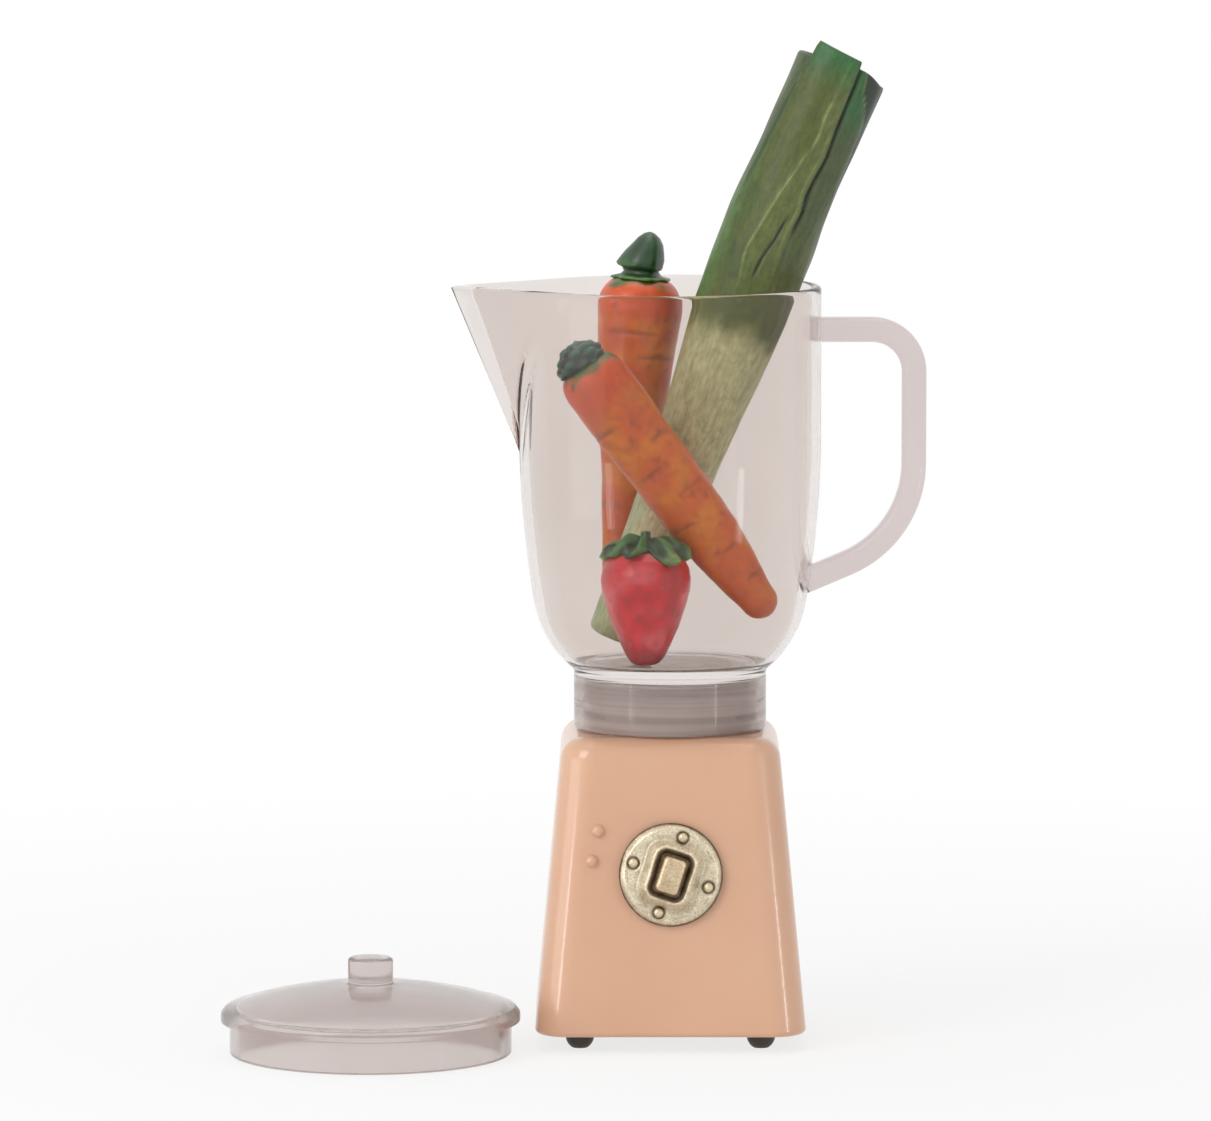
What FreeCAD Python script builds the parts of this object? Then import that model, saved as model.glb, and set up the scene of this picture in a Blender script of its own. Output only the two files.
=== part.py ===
import FreeCAD, Part
import math
import os
import re
import Sketcher

# Miniature play blender with its loose lid and four pieces of toy food.
# Millimetres. Origin on the blender's axis at the floor, +Z up.
# The dial faces -Y, the spout points to -X and the handle to +X.

doc = FreeCAD.newDocument("play_blender")
sheet = doc.addObject("Spreadsheet::Sheet", "sizes")

SIZES = [
    ("foot_height", 1.7, "floor to underside of casing"),
    ("foot_radius", 1.5, "rubber foot"),
    ("foot_flat_radius", 0.8, "flat that touches the floor"),
    ("foot_peg_radius", 0.7, "peg in the base plate"),
    ("foot_spacing", 18.9, "between foot centres, both ways"),
    ("casing_height", 30.8, "underside to top of casing"),
    ("casing_bottom_width", 28.3, "square, at the underside"),
    ("casing_top_width", 22.5, "square, at the top"),
    ("casing_corner", 3.6, "rounding of the four upright edges"),
    ("casing_shoulder", 2.4, "rounding round the top"),
    ("casing_lower_edge", 0.5, "rounding round the underside"),
    ("casing_wall", 1.6, "side walls"),
    ("casing_roof", 2.2, "top wall"),
    ("column_spacing", 14.0, "between screw columns, both ways"),
    ("column_radius", 1.9, "screw column"),
    ("plate_thickness", 1.5, "base plate"),
    ("plate_gap", 0.1, "base plate to casing wall"),
    ("screw_radius", 0.8, "thread of every screw"),
    ("screw_head_radius", 1.5, "pan head"),
    ("screw_head_height", 0.8, "pan head"),
    ("screw_gap", 0.1, "screw to its clearance hole"),
    ("screw_bite", 5.0, "thread in the column"),
    ("pip_radius", 0.68, "raised mark on the front"),
    ("pip_upper_x", 7.55, "left of the axis"),
    ("pip_upper_height", 23.1, "above the floor"),
    ("pip_lower_x", 8.2, "left of the axis"),
    ("pip_lower_height", 20.0, "above the floor"),
    ("dial_height", 18.6, "dial centre above the floor"),
    ("dial_turned", 18.0, "degrees clockwise from upright"),
    ("dial_radius", 5.4, "cast disc"),
    ("dial_rim", 0.8, "disc thickness at its edge"),
    ("dial_crown", 1.2, "disc thickness at its middle"),
    ("dial_gap", 0.15, "disc to casing"),
    ("ridge_width", 6.2, "raised frame, across"),
    ("ridge_length", 6.8, "raised frame, along the grip"),
    ("ridge_rise", 0.7, "raised frame above the crown"),
    ("ridge_corner", 1.9, "plan corner of the raised frame"),
    ("moat_width", 3.6, "recess round the grip, across"),
    ("moat_length", 4.9, "recess round the grip, along"),
    ("moat_depth", 0.9, "recess below the frame's top"),
    ("moat_corner", 0.8, "plan corner of the recess"),
    ("grip_width", 2.6, "finger grip, across"),
    ("grip_length", 3.9, "finger grip, along"),
    ("grip_height", 1.5, "finger grip above the recess floor"),
    ("grip_corner", 0.5, "plan corner of the grip"),
    ("grip_edge", 0.25, "chamfer round the grip's top"),
    ("rivet_circle", 4.1, "radius of the circle of rivet heads"),
    ("rivet_radius", 0.5, "rivet head"),
    ("rivet_rise", 0.35, "rivet head above the disc"),
    ("rivet_tail", 0.5, "rivet in the disc"),
    ("shaft_radius", 1.0, "dial shaft"),
    ("shaft_gap", 0.08, "shaft in the casing wall"),
    ("shaft_end", 1.0, "shaft past the clip"),
    ("washer_radius", 2.2, "spring washer"),
    ("washer_thickness", 0.4, "spring washer"),
    ("washer_gap", 0.1, "washer to casing wall"),
    ("clip_radius", 1.9, "retaining clip"),
    ("clip_thickness", 0.4, "retaining clip"),
    ("clip_depth", 0.3, "groove in the shaft"),
    ("clip_mouth", 1.2, "slot of the clip"),
    ("boss_core", 8.5, "threaded seat under its thread"),
    ("boss_height", 4.9, "threaded seat above the casing"),
    ("boss_edge", 0.4, "chamfer round its top"),
    ("spigot_radius", 4.5, "locating spigot in the roof"),
    ("spigot_gap", 0.05, "spigot to roof"),
    ("boss_screw_spread", 12.6, "between the two seat screws"),
    ("boss_screw_bite", 3.4, "thread in the seat"),
    ("thread_pitch", 1.6, "rise per turn"),
    ("thread_width", 0.6, "ridge, along the axis"),
    ("thread_gap", 0.15, "ridge top to the other part"),
    ("thread_start", 1.0, "first ridge above the casing"),
    ("boss_turns", 1.8, "ridge on the seat"),
    ("skirt_turns", 1.5, "ridge in the jug's skirt"),
    ("seal_outer", 8.2, "sealing ring"),
    ("seal_inner", 6.6, "sealing ring"),
    ("seal_thickness", 0.5, "sealing ring"),
    ("seal_gap", 0.05, "ring to each neighbour"),
    ("skirt_radius", 10.1, "outside of the jug's skirt"),
    ("skirt_wall", 1.0, "jug's skirt"),
    ("skirt_lift", 0.12, "skirt to casing"),
    ("jug_floor", 1.7, "floor thickness"),
    ("bowl_start_rise", 0.75, "skirt's end above the underside of the jug's floor"),
    ("bowl_radius", 14.2, "outside, where bowl meets side"),
    ("bowl_height", 45.5, "where bowl meets side"),
    ("bowl_curve", 11.2, "radius of the bowl's profile"),
    ("side_curve", 108.0, "radius of the side's profile"),
    ("side_height", 61.5, "where the side turns upright"),
    ("jug_radius", 15.8, "outside, upper half"),
    ("jug_height", 79.0, "rim above the floor"),
    ("jug_wall", 1.0, "jug wall"),
    ("floor_radius", 10.1, "flat inside the bowl"),
    ("spout_reach", 23.0, "axis to tip of the spout"),
    ("spout_nose", 0.35, "half width of the blunt tip"),
    ("spout_depth", 17.3, "rim to foot of the spout"),
    ("spout_wall", 2.3, "from tip to channel"),
    ("spout_channel_nose", 0.9, "half width of the channel's end"),
    ("handle_reach", 25.5, "axis to middle of the handle's bar"),
    ("handle_drop", 4.6, "rim to middle of the upper arm"),
    ("handle_bend", 4.4, "upper bend, middle line"),
    ("handle_sweep", 11.5, "lower bend, middle line"),
    ("handle_sweep_drop", 14.0, "upper arm to centre of the lower bend"),
    ("handle_sweep_angle", 67.0, "degrees that the lower bend turns"),
    ("handle_tail", 6.5, "straight end of the lower arm"),
    ("handle_thick", 2.6, "bar, seen from the front"),
    ("handle_broad", 3.0, "bar, front to back"),
    ("handle_edge", 0.9, "corner radius of the bar"),
    ("handle_peg", 0.8, "radius of the pegs"),
    ("handle_peg_spread", 26.0, "upper peg to lower peg"),
    ("lid_left", 31.2, "lid's centre, left of the axis"),
    ("lid_front", 12.6, "lid's centre, in front of the axis"),
    ("lid_gap", 0.15, "plug in the jug's mouth"),
    ("lid_wall", 1.0, "lid wall"),
    ("lid_plug", 3.4, "depth of the plug"),
    ("lid_flange_radius", 15.6, "flange that rests on the rim"),
    ("lid_flange_height", 0.9, "upright edge of the flange"),
    ("lid_shoulder_radius", 14.8, "where the dome starts"),
    ("lid_shoulder_rise", 1.5, "dome's start above the flange's underside"),
    ("lid_apex_rise", 3.85, "dome's top above the flange's underside"),
    ("lid_edge_curve", 1.0, "radius of the flange's edge"),
    ("knob_radius", 2.35, "lid knob"),
    ("knob_height", 10.0, "knob's top above the plug's end"),
    ("knob_edge", 0.5, "rounding of the knob"),
    ("leek_foot_x", -5.4, "lower end"),
    ("leek_foot_y", 3.0, "lower end"),
    ("leek_foot_height", 41.5, "lower end above the floor"),
    ("leek_lean", 20.3, "degrees towards the handle"),
    ("leek_length", 66.0, "cut end to cut end"),
    ("leek_foot_radius", 3.5, "white end"),
    ("leek_neck_radius", 3.7, "where the leaves start"),
    ("leek_neck_at", 20.0, "up the leek"),
    ("leek_leaf_radius", 5.15, "wrapped leaves"),
    ("leek_leaf_at", 37.0, "up the leek"),
    ("leek_top_radius", 5.35, "cut top"),
    ("leek_top_shift", 0.9, "cut top, towards the handle"),
    ("rear_tip_x", -5.7, "rear carrot's tip"),
    ("rear_tip_y", 8.3, "rear carrot's tip"),
    ("rear_tip_height", 42.6, "rear carrot's tip"),
    ("rear_head_x", -2.95, "rear carrot's head"),
    ("rear_head_y", 9.0, "rear carrot's head"),
    ("rear_head_height", 79.2, "rear carrot's head"),
    ("rear_radius", 4.6, "rear carrot's shoulder"),
    ("rear_tip_radius", 1.5, "rear carrot's tip"),
    ("rear_belly_radius", 3.3, "rear carrot's middle"),
    ("rear_belly_at", 20.0, "rear carrot's middle, from its tip"),
    ("rear_top_radius", 2.45, "rear carrot's leaf stub"),
    ("rear_top_height", 5.0, "rear carrot's leaf stub"),
    ("front_tip_x", 10.3, "front carrot's tip"),
    ("front_tip_y", -4.7, "front carrot's tip"),
    ("front_tip_height", 44.9, "front carrot's tip"),
    ("front_head_x", -9.0, "front carrot's head"),
    ("front_head_y", -5.2, "front carrot's head"),
    ("front_head_height", 71.0, "front carrot's head"),
    ("front_radius", 3.7, "front carrot's shoulder"),
    ("front_tip_radius", 2.0, "front carrot's tip"),
    ("front_belly_radius", 3.25, "front carrot's middle"),
    ("front_belly_at", 10.0, "front carrot's middle, from its tip"),
    ("front_top_radius", 2.9, "front carrot's leaf stub"),
    ("front_top_height", 2.6, "front carrot's leaf stub"),
    ("berry_x", -2.6, "strawberry's middle"),
    ("berry_y", -8.0, "strawberry's middle"),
    ("berry_foot", 40.15, "strawberry's tip above the floor"),
    ("berry_height", 12.3, "tip to shoulder"),
    ("berry_radius", 4.65, "widest"),
    ("berry_widest", 8.6, "widest part above the tip"),
    ("calyx_radius", 3.4, "leaves of the strawberry"),
    ("calyx_thickness", 0.6, "leaves of the strawberry"),
    ("calyx_notch", 1.9, "depth between two leaves"),
]

for row, (alias, number, note) in enumerate(SIZES, start=1):
    sheet.set(f"A{row}", alias)
    sheet.set(f"B{row}", str(number))
    sheet.set(f"C{row}", note)
    sheet.setAlias(f"B{row}", alias)
doc.recompute()

ALIASES = re.compile(r"\b(" + "|".join(alias for alias, number, note in SIZES) + r")\b")
SIDES = (-1, 1)
NEAR = 1e-4
NODES = {}


def bound(text):
    """Expression of a document object, from one written with the sheet's aliases."""
    return ALIASES.sub(r"sizes.\1", text)


def size(text):
    """Number that an expression written with the sheet's aliases gives."""
    result = sheet.evalExpression(bound(text))
    return float(getattr(result, "Value", result))


# Heights and places that several pieces share, as expressions of the sheet.
CASING_TOP = "(foot_height + casing_height)"
ROOF_UNDERSIDE = f"({CASING_TOP} - casing_roof)"
PLATE_TOP = "(foot_height + plate_thickness)"
BOSS_TOP = f"({CASING_TOP} + boss_height)"
FLOOR_UNDERSIDE = f"({BOSS_TOP} + 2 * seal_gap + seal_thickness)"
FLOOR_TOP = f"({FLOOR_UNDERSIDE} + jug_floor)"
SKIRT_BORE = "(skirt_radius - skirt_wall)"
SKIRT_FOOT = f"({CASING_TOP} + skirt_lift)"
JUG_BORE = "(jug_radius - jug_wall)"
BOWL_START = f"({FLOOR_UNDERSIDE} + bowl_start_rise)"
HANDLE_TOP = "(jug_height - handle_drop)"
LOWER_PEG = f"({HANDLE_TOP} - handle_peg_spread)"
THREAD_FOOT = f"({CASING_TOP} + thread_start)"
SPOUT_FOOT = "(jug_height - spout_depth)"
LID_PLUG_RADIUS = f"({JUG_BORE} - lid_gap)"
CASING_SLOPE = "((casing_bottom_width - casing_top_width) / 2 / casing_height)"


def new_body(label):
    """Empty body that becomes the node of this name."""
    body = doc.addObject("PartDesign::Body", label)
    body.Label = label
    NODES[label] = body
    return body


def new_sketch(body, name, plane="XY_Plane", height=None):
    """Sketch on one of the body's own origin planes, raised to a height along its normal."""
    sketch = body.newObject("Sketcher::SketchObject", name)
    support = [item for item in body.Origin.OriginFeatures if item.Role == plane][0]
    sketch.AttachmentSupport = (support, "")
    sketch.MapMode = "FlatFace"
    if height is not None:
        sketch.setExpression("AttachmentOffset.Base.z", bound(height))
    return sketch


def name_last(sketch, index, label, text):
    """Name a constraint and bind its value."""
    sketch.renameConstraint(index, label)
    sketch.setExpression(f"Constraints.{label}", bound(text))


def pin(sketch, geometry, vertex, across, up):
    """Hold a point of the sketch at two expressions measured from the sketch's origin."""
    for kind, text, axis in (("DistanceX", across, -2), ("DistanceY", up, -1)):
        number = size(text)
        label = f"{kind}_{geometry}_{vertex}"
        if abs(number) < NEAR:
            sketch.addConstraint(Sketcher.Constraint("PointOnObject", geometry, vertex, axis))
        elif number > 0:
            rule = Sketcher.Constraint(kind, -1, 1, geometry, vertex, number)
            name_last(sketch, sketch.addConstraint(rule), label, text)
        else:
            rule = Sketcher.Constraint(kind, geometry, vertex, -1, 1, -number)
            name_last(sketch, sketch.addConstraint(rule), label, f"-({text})")


def cap_radius(reach, rise):
    """Radius of the round cap whose edge is this far from the axis and this far below its top."""
    return f"((({reach}) ^ 2 + ({rise}) ^ 2) / (2 * ({rise})))"


def bulge_point(start, end, radius, left):
    """Middle point of an arc whose bulge lies left or right of the way from start to end."""
    chord = end - start
    middle = (start + end) * 0.5
    half = chord.Length / 2
    sagitta = radius - math.sqrt(max(radius ** 2 - half ** 2, 0))
    side = FreeCAD.Vector(-chord.y, chord.x, 0).normalize()
    return middle + side * (sagitta if left else -sagitta)


def outline(sketch, corners, arcs=None, closed=True):
    """Chain of lines through corners. arcs gives some of them a radius and a bulge side."""
    arcs = arcs or {}
    points = [FreeCAD.Vector(size(across), size(up), 0) for across, up in corners]
    count = len(points) if closed else len(points) - 1
    ends = []
    for index in range(count):
        start = points[index]
        end = points[(index + 1) % len(points)]
        if index in arcs:
            radius, left = arcs[index]
            through = bulge_point(start, end, size(radius), left)
            geometry = sketch.addGeometry(Part.ArcOfCircle(start, through, end), False)
            forward = (sketch.getPoint(geometry, 1) - start).Length < NEAR
            ends.append((geometry, 1, 2) if forward else (geometry, 2, 1))
        else:
            geometry = sketch.addGeometry(Part.LineSegment(start, end), False)
            ends.append((geometry, 1, 2))
    for index in range(count if closed else count - 1):
        geometry, first, last = ends[index]
        after, after_first, after_last = ends[(index + 1) % count]
        sketch.addConstraint(Sketcher.Constraint("Coincident", geometry, last, after, after_first))
    for index in range(count):
        geometry, first, last = ends[index]
        pin(sketch, geometry, first, *corners[index])
        if index in arcs:
            radius = arcs[index][0]
            rule = Sketcher.Constraint("Radius", geometry, size(radius))
            name_last(sketch, sketch.addConstraint(rule), f"Radius_{geometry}", radius)
    if not closed:
        geometry, first, last = ends[-1]
        pin(sketch, geometry, last, *corners[-1])
    return sketch


def circle(sketch, across, up, radius):
    """Circle held by its centre and radius."""
    centre = FreeCAD.Vector(size(across), size(up), 0)
    normal = FreeCAD.Vector(0, 0, 1)
    geometry = sketch.addGeometry(Part.Circle(centre, normal, size(radius)), False)
    if centre.Length < NEAR:
        sketch.addConstraint(Sketcher.Constraint("Coincident", geometry, 3, -1, 1))
    else:
        pin(sketch, geometry, 3, across, up)
    rule = Sketcher.Constraint("Radius", geometry, size(radius))
    name_last(sketch, sketch.addConstraint(rule), f"Radius_{geometry}", radius)


def rounded_rectangle(sketch, half_width, half_length, corner):
    """Rectangle round the origin with four round corners."""
    flat_x = f"({half_width} - {corner})"
    flat_y = f"({half_length} - {corner})"
    corners = [
        (half_width, f"-{flat_y}"), (half_width, flat_y),
        (flat_x, half_length), (f"-{flat_x}", half_length),
        (f"-{half_width}", flat_y), (f"-{half_width}", f"-{flat_y}"),
        (f"-{flat_x}", f"-{half_length}"), (flat_x, f"-{half_length}"),
    ]
    return outline(sketch, corners, {index: (corner, False) for index in (1, 3, 5, 7)})


def square(sketch, half):
    """Square round the origin."""
    return outline(sketch, [(half, f"-({half})"), (half, half), (f"-({half})", half),
                            (f"-({half})", f"-({half})")])


def square_of_circles(sketch, spacing, radius):
    """Four circles on the corners of a square."""
    for side_x in SIDES:
        for side_y in SIDES:
            circle(sketch, f"{side_x} * {spacing} / 2", f"{side_y} * {spacing} / 2", radius)


def feature(body, kind, name, sketch, **settings):
    """Feature on a sketch. Text settings are bound to the sheet, others are set as they are."""
    made = body.newObject(f"PartDesign::{kind}", name)
    made.Profile = sketch
    if kind in ("Revolution", "Groove"):
        made.ReferenceAxis = (sketch, ["V_Axis"])
        made.Angle = 360.0
    for key, setting in settings.items():
        if isinstance(setting, str) and key in ("Length", "Length2"):
            made.setExpression(key, bound(setting))
        else:
            setattr(made, key, setting)
    sketch.Visibility = False
    doc.recompute()
    return made


def revolved(body, name, corners, arcs=None, kind="Revolution"):
    """Body of revolution about the body's Z axis, from a profile of radius and height."""
    sketch = outline(new_sketch(body, f"{name}_profile", "XZ_Plane"), corners, arcs)
    return feature(body, kind, name, sketch)


def loft(body, name, sections, kind="AdditiveLoft", ruled=True):
    """Loft through sketches from the first to the last."""
    made = body.newObject(f"PartDesign::{kind}", name)
    made.Profile = sections[0]
    made.Sections = sections[1:]
    made.Ruled = ruled
    doc.recompute()
    return made


def edges_where(made, test):
    """Names of the feature's edges whose bounding box passes the test."""
    boxes = [edge.BoundBox for edge in made.Shape.Edges]
    return [f"Edge{number}" for number, box in enumerate(boxes, start=1) if test(box)]


def rounded(body, name, base, test, radius, kind="Fillet"):
    """Fillet or chamfer of the chosen edges."""
    made = body.newObject(f"PartDesign::{kind}", name)
    made.Base = (base, edges_where(base, test))
    made.setExpression("Radius" if kind == "Fillet" else "Size", bound(radius))
    doc.recompute()
    return made


def helix_ridge(body, name, radius, root, foot, turns, outward):
    """Helical ridge with a blunt section. It starts on the +X side and climbs to the right."""
    crest = f"({radius} {'+' if outward else '-'} {root})"
    buried = f"({radius} {'-' if outward else '+'} thread_width / 4)"
    corners = [
        (buried, f"{foot} - thread_width / 2"), (crest, f"{foot} - thread_width / 4"),
        (crest, f"{foot} + thread_width / 4"), (buried, f"{foot} + thread_width / 2"),
    ]
    sketch = outline(new_sketch(body, f"{name}_profile", "XZ_Plane"), corners)
    made = body.newObject("PartDesign::AdditiveHelix", name)
    made.Profile = sketch
    made.ReferenceAxis = (sketch, ["V_Axis"])
    made.Mode = "pitch-turns-angle"
    made.setExpression("Pitch", bound("thread_pitch"))
    made.setExpression("Turns", bound(turns))
    made.LeftHanded = False
    made.Reversed = False
    doc.recompute()
    return made


def aimed(tail, head, turned=0.0):
    """Placement that carries the local Z axis from one point towards another."""
    direction = FreeCAD.Vector(*head) - FreeCAD.Vector(*tail)
    turn = FreeCAD.Rotation(FreeCAD.Vector(0, 0, 1), direction)
    own = FreeCAD.Rotation(FreeCAD.Vector(0, 0, 1), turned)
    return FreeCAD.Placement(FreeCAD.Vector(*tail), turn.multiply(own))


def scattered(label, pattern, places):
    """Node of several equal solids: the pattern's shape, moved to each place."""
    made = doc.addObject("Part::Feature", label)
    made.Label = label
    copies = [pattern.Shape.transformed(place.toMatrix(), True) for place in places]
    made.Shape = Part.makeCompound(copies)
    NODES.pop(pattern.Label)
    NODES[label] = made
    return made


# Casing


def casing():
    body = new_body("base_casing")
    foot = square(new_sketch(body, "casing_foot", height="foot_height"),
                  "casing_bottom_width / 2")
    block = feature(body, "Pad", "casing_block", foot, Length="casing_height")
    block.setExpression("TaperAngle", bound(f"-atan({CASING_SLOPE})"))
    doc.recompute()
    top_z = size(CASING_TOP)
    foot_z = size("foot_height")
    block = rounded(body, "casing_upright_round", block,
                    lambda box: box.ZLength > (top_z - foot_z) / 2, "casing_corner")
    block = rounded(body, "casing_shoulder_round", block,
                    lambda box: box.ZMin > top_z - NEAR, "casing_shoulder")
    block = rounded(body, "casing_lower_round", block,
                    lambda box: box.ZMax < foot_z + NEAR, "casing_lower_edge")
    inner_foot = rounded_rectangle(
        new_sketch(body, "cavity_foot", height="foot_height"),
        "(casing_bottom_width / 2 - casing_wall)", "(casing_bottom_width / 2 - casing_wall)",
        "(casing_corner - casing_wall)")
    inner_half = f"(casing_top_width / 2 + casing_roof * {CASING_SLOPE} - casing_wall)"
    inner_top = rounded_rectangle(
        new_sketch(body, "cavity_head", height=ROOF_UNDERSIDE),
        inner_half, inner_half, "(casing_corner - casing_wall)")
    loft(body, "cavity", [inner_foot, inner_top], "SubtractiveLoft")
    columns = new_sketch(body, "column_plan", height=PLATE_TOP)
    square_of_circles(columns, "column_spacing", "column_radius")
    feature(body, "Pad", "columns", columns,
            Length=f"{ROOF_UNDERSIDE} - {PLATE_TOP} + casing_roof / 2")
    pilots = new_sketch(body, "pilot_plan", height=PLATE_TOP)
    square_of_circles(pilots, "column_spacing", "screw_radius")
    feature(body, "Pocket", "pilots", pilots, Length="screw_bite", Reversed=True)
    seat = new_sketch(body, "seat_plan", height=CASING_TOP)
    circle(seat, "0", "0", "(spigot_radius + spigot_gap)")
    for side in SIDES:
        circle(seat, f"{side} * boss_screw_spread / 2", "0", "(screw_radius + screw_gap)")
    feature(body, "Pocket", "seat_holes", seat, Length="casing_roof + 1")
    bore = body.newObject("PartDesign::SubtractiveCylinder", "dial_bore")
    bore.setExpression("Radius", bound("shaft_radius + shaft_gap"))
    bore.setExpression("Height", bound("4 * casing_wall"))
    back = dial_place().multiply(FreeCAD.Placement(
        FreeCAD.Vector(0, 0, -2 * size("casing_wall")), FreeCAD.Rotation()))
    bore.Placement = back
    doc.recompute()
    for name in ("upper", "lower"):
        pip = body.newObject("PartDesign::AdditiveSphere", f"pip_{name}")
        pip.setExpression("Radius", bound("pip_radius"))
        height = size(f"pip_{name}_height")
        pip.Placement = FreeCAD.Placement(
            FreeCAD.Vector(-size(f"pip_{name}_x"), front_face_y(height), height), FreeCAD.Rotation())
        doc.recompute()


def front_face_y(height):
    """Depth of the casing's sloping front at a height."""
    return -size("casing_bottom_width") / 2 + (height - size("foot_height")) * size(CASING_SLOPE)


def dial_place(turned=0.0):
    """Placement on the sloping front with local Z pointing out of it and local Y up."""
    slope = math.degrees(math.atan(size(CASING_SLOPE)))
    height = size("dial_height")
    point = FreeCAD.Vector(0, front_face_y(height), height)
    upright = FreeCAD.Rotation(FreeCAD.Vector(1, 0, 0), 90 - slope)
    own = FreeCAD.Rotation(FreeCAD.Vector(0, 0, 1), -turned)
    return FreeCAD.Placement(point, upright.multiply(own))


def base_plate():
    body = new_body("base_plate")
    half = f"(casing_bottom_width / 2 - casing_wall - plate_thickness * {CASING_SLOPE} - plate_gap)"
    plan = rounded_rectangle(new_sketch(body, "plate_plan", height="foot_height"),
                             half, half, "(casing_corner - casing_wall)")
    feature(body, "Pad", "plate", plan, Length="plate_thickness")
    holes = new_sketch(body, "plate_holes", height="foot_height")
    square_of_circles(holes, "column_spacing", "(screw_radius + screw_gap)")
    square_of_circles(holes, "foot_spacing", "foot_peg_radius")
    feature(body, "Pocket", "through_holes", holes, Length="plate_thickness", Reversed=True)
    heads = new_sketch(body, "plate_heads", height="foot_height")
    square_of_circles(heads, "column_spacing", "(screw_head_radius + screw_gap)")
    feature(body, "Pocket", "head_recesses", heads, Length="screw_head_height", Reversed=True)


def feet():
    sides = {"front": -1, "rear": 1, "left": -1, "right": 1}
    for depth in ("front", "rear"):
        for hand in ("left", "right"):
            body = new_body(f"foot_{depth}_{hand}")
            revolved(body, f"foot_{depth}_{hand}_dome", [
                ("0", "0"), ("foot_flat_radius", "0"),
                ("foot_radius", "foot_height * 0.7"), ("foot_radius", "foot_height"),
                ("foot_peg_radius", "foot_height"), ("foot_peg_radius", PLATE_TOP),
                ("0", PLATE_TOP),
            ], {1: ("foot_radius", False)})
            body.Placement.Base = FreeCAD.Vector(
                sides[hand] * size("foot_spacing") / 2, sides[depth] * size("foot_spacing") / 2, 0)


def screw(label, bite):
    """Pan-head screw pointing up, with the seat of its head at the origin."""
    body = new_body(label)
    revolved(body, f"{label}_turned", [
        ("0", "-screw_head_height"), ("screw_head_radius", "-screw_head_height"),
        ("screw_head_radius", "0"), ("screw_radius", "0"),
        ("screw_radius", f"{bite} - screw_radius"), ("0", bite),
    ])
    slot = new_sketch(body, f"{label}_slot_plan", height="-screw_head_height")
    rounded_rectangle(slot, "screw_head_radius * 0.7", "screw_radius * 0.25", "screw_radius * 0.2")
    feature(body, "Pocket", f"{label}_slot", slot, Length="screw_head_height / 2", Reversed=True)
    return body


def base_plate_screws():
    pattern = screw("plate_screw", f"(plate_thickness - screw_head_height + screw_bite)")
    height = size("foot_height + screw_head_height")
    reach = size("column_spacing") / 2
    places = [FreeCAD.Placement(FreeCAD.Vector(x * reach, y * reach, height), FreeCAD.Rotation())
              for x in SIDES for y in SIDES]
    scattered("base_plate_screws", pattern, places)


def boss_screws():
    pattern = screw("seat_screw", "(casing_roof + boss_screw_bite)")
    height = size(ROOF_UNDERSIDE)
    reach = size("boss_screw_spread") / 2
    places = [FreeCAD.Placement(FreeCAD.Vector(x * reach, 0, height), FreeCAD.Rotation())
              for x in SIDES]
    scattered("boss_screws", pattern, places)


# Threaded seat and sealing ring


def jug_boss():
    body = new_body("jug_boss")
    revolved(body, "boss_turned", [
        ("0", ROOF_UNDERSIDE), ("spigot_radius", ROOF_UNDERSIDE),
        ("spigot_radius", CASING_TOP), ("boss_core", CASING_TOP),
        ("boss_core", f"{BOSS_TOP} - boss_edge"), ("boss_core - boss_edge", BOSS_TOP),
        ("0", BOSS_TOP),
    ])
    pilots = new_sketch(body, "boss_pilots", height=CASING_TOP)
    for side in SIDES:
        circle(pilots, f"{side} * boss_screw_spread / 2", "0", "screw_radius")
    feature(body, "Pocket", "boss_pilot_holes", pilots, Length="boss_screw_bite", Reversed=True)
    rise = f"({SKIRT_BORE} - thread_gap - boss_core)"
    helix_ridge(body, "boss_thread", "boss_core", rise, THREAD_FOOT, "boss_turns", True)


def seal_ring():
    body = new_body("seal_ring")
    foot = f"({BOSS_TOP} + seal_gap)"
    head = f"({foot} + seal_thickness)"
    revolved(body, "seal_turned", [
        ("seal_inner", foot), ("seal_outer", foot), ("seal_outer", head), ("seal_inner", head),
    ])


# Jug


def jug_side(radius_offset, floor_radius, floor_height):
    """Corners and arcs of the jug's side from its bowl to its rim, outside or inside."""
    corners = [
        (floor_radius, floor_height),
        (f"(bowl_radius - {radius_offset})", "bowl_height"),
        (f"(jug_radius - {radius_offset})", "side_height"),
        (f"(jug_radius - {radius_offset})", "jug_height"),
    ]
    curves = [(f"(bowl_curve - {radius_offset})", False), (f"(side_curve - {radius_offset})", False)]
    return corners, curves


def spout_section(body, name, height, tip, nose, back, half):
    """Blunt wedge in plan that points to -X."""
    corners = [
        (f"-({tip})", f"({nose})"), (f"-({tip})", f"-({nose})"),
        (f"-({back})", f"-({half})"), (f"-({back})", f"({half})"),
    ]
    return outline(new_sketch(body, name, height=height), corners)


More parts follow.
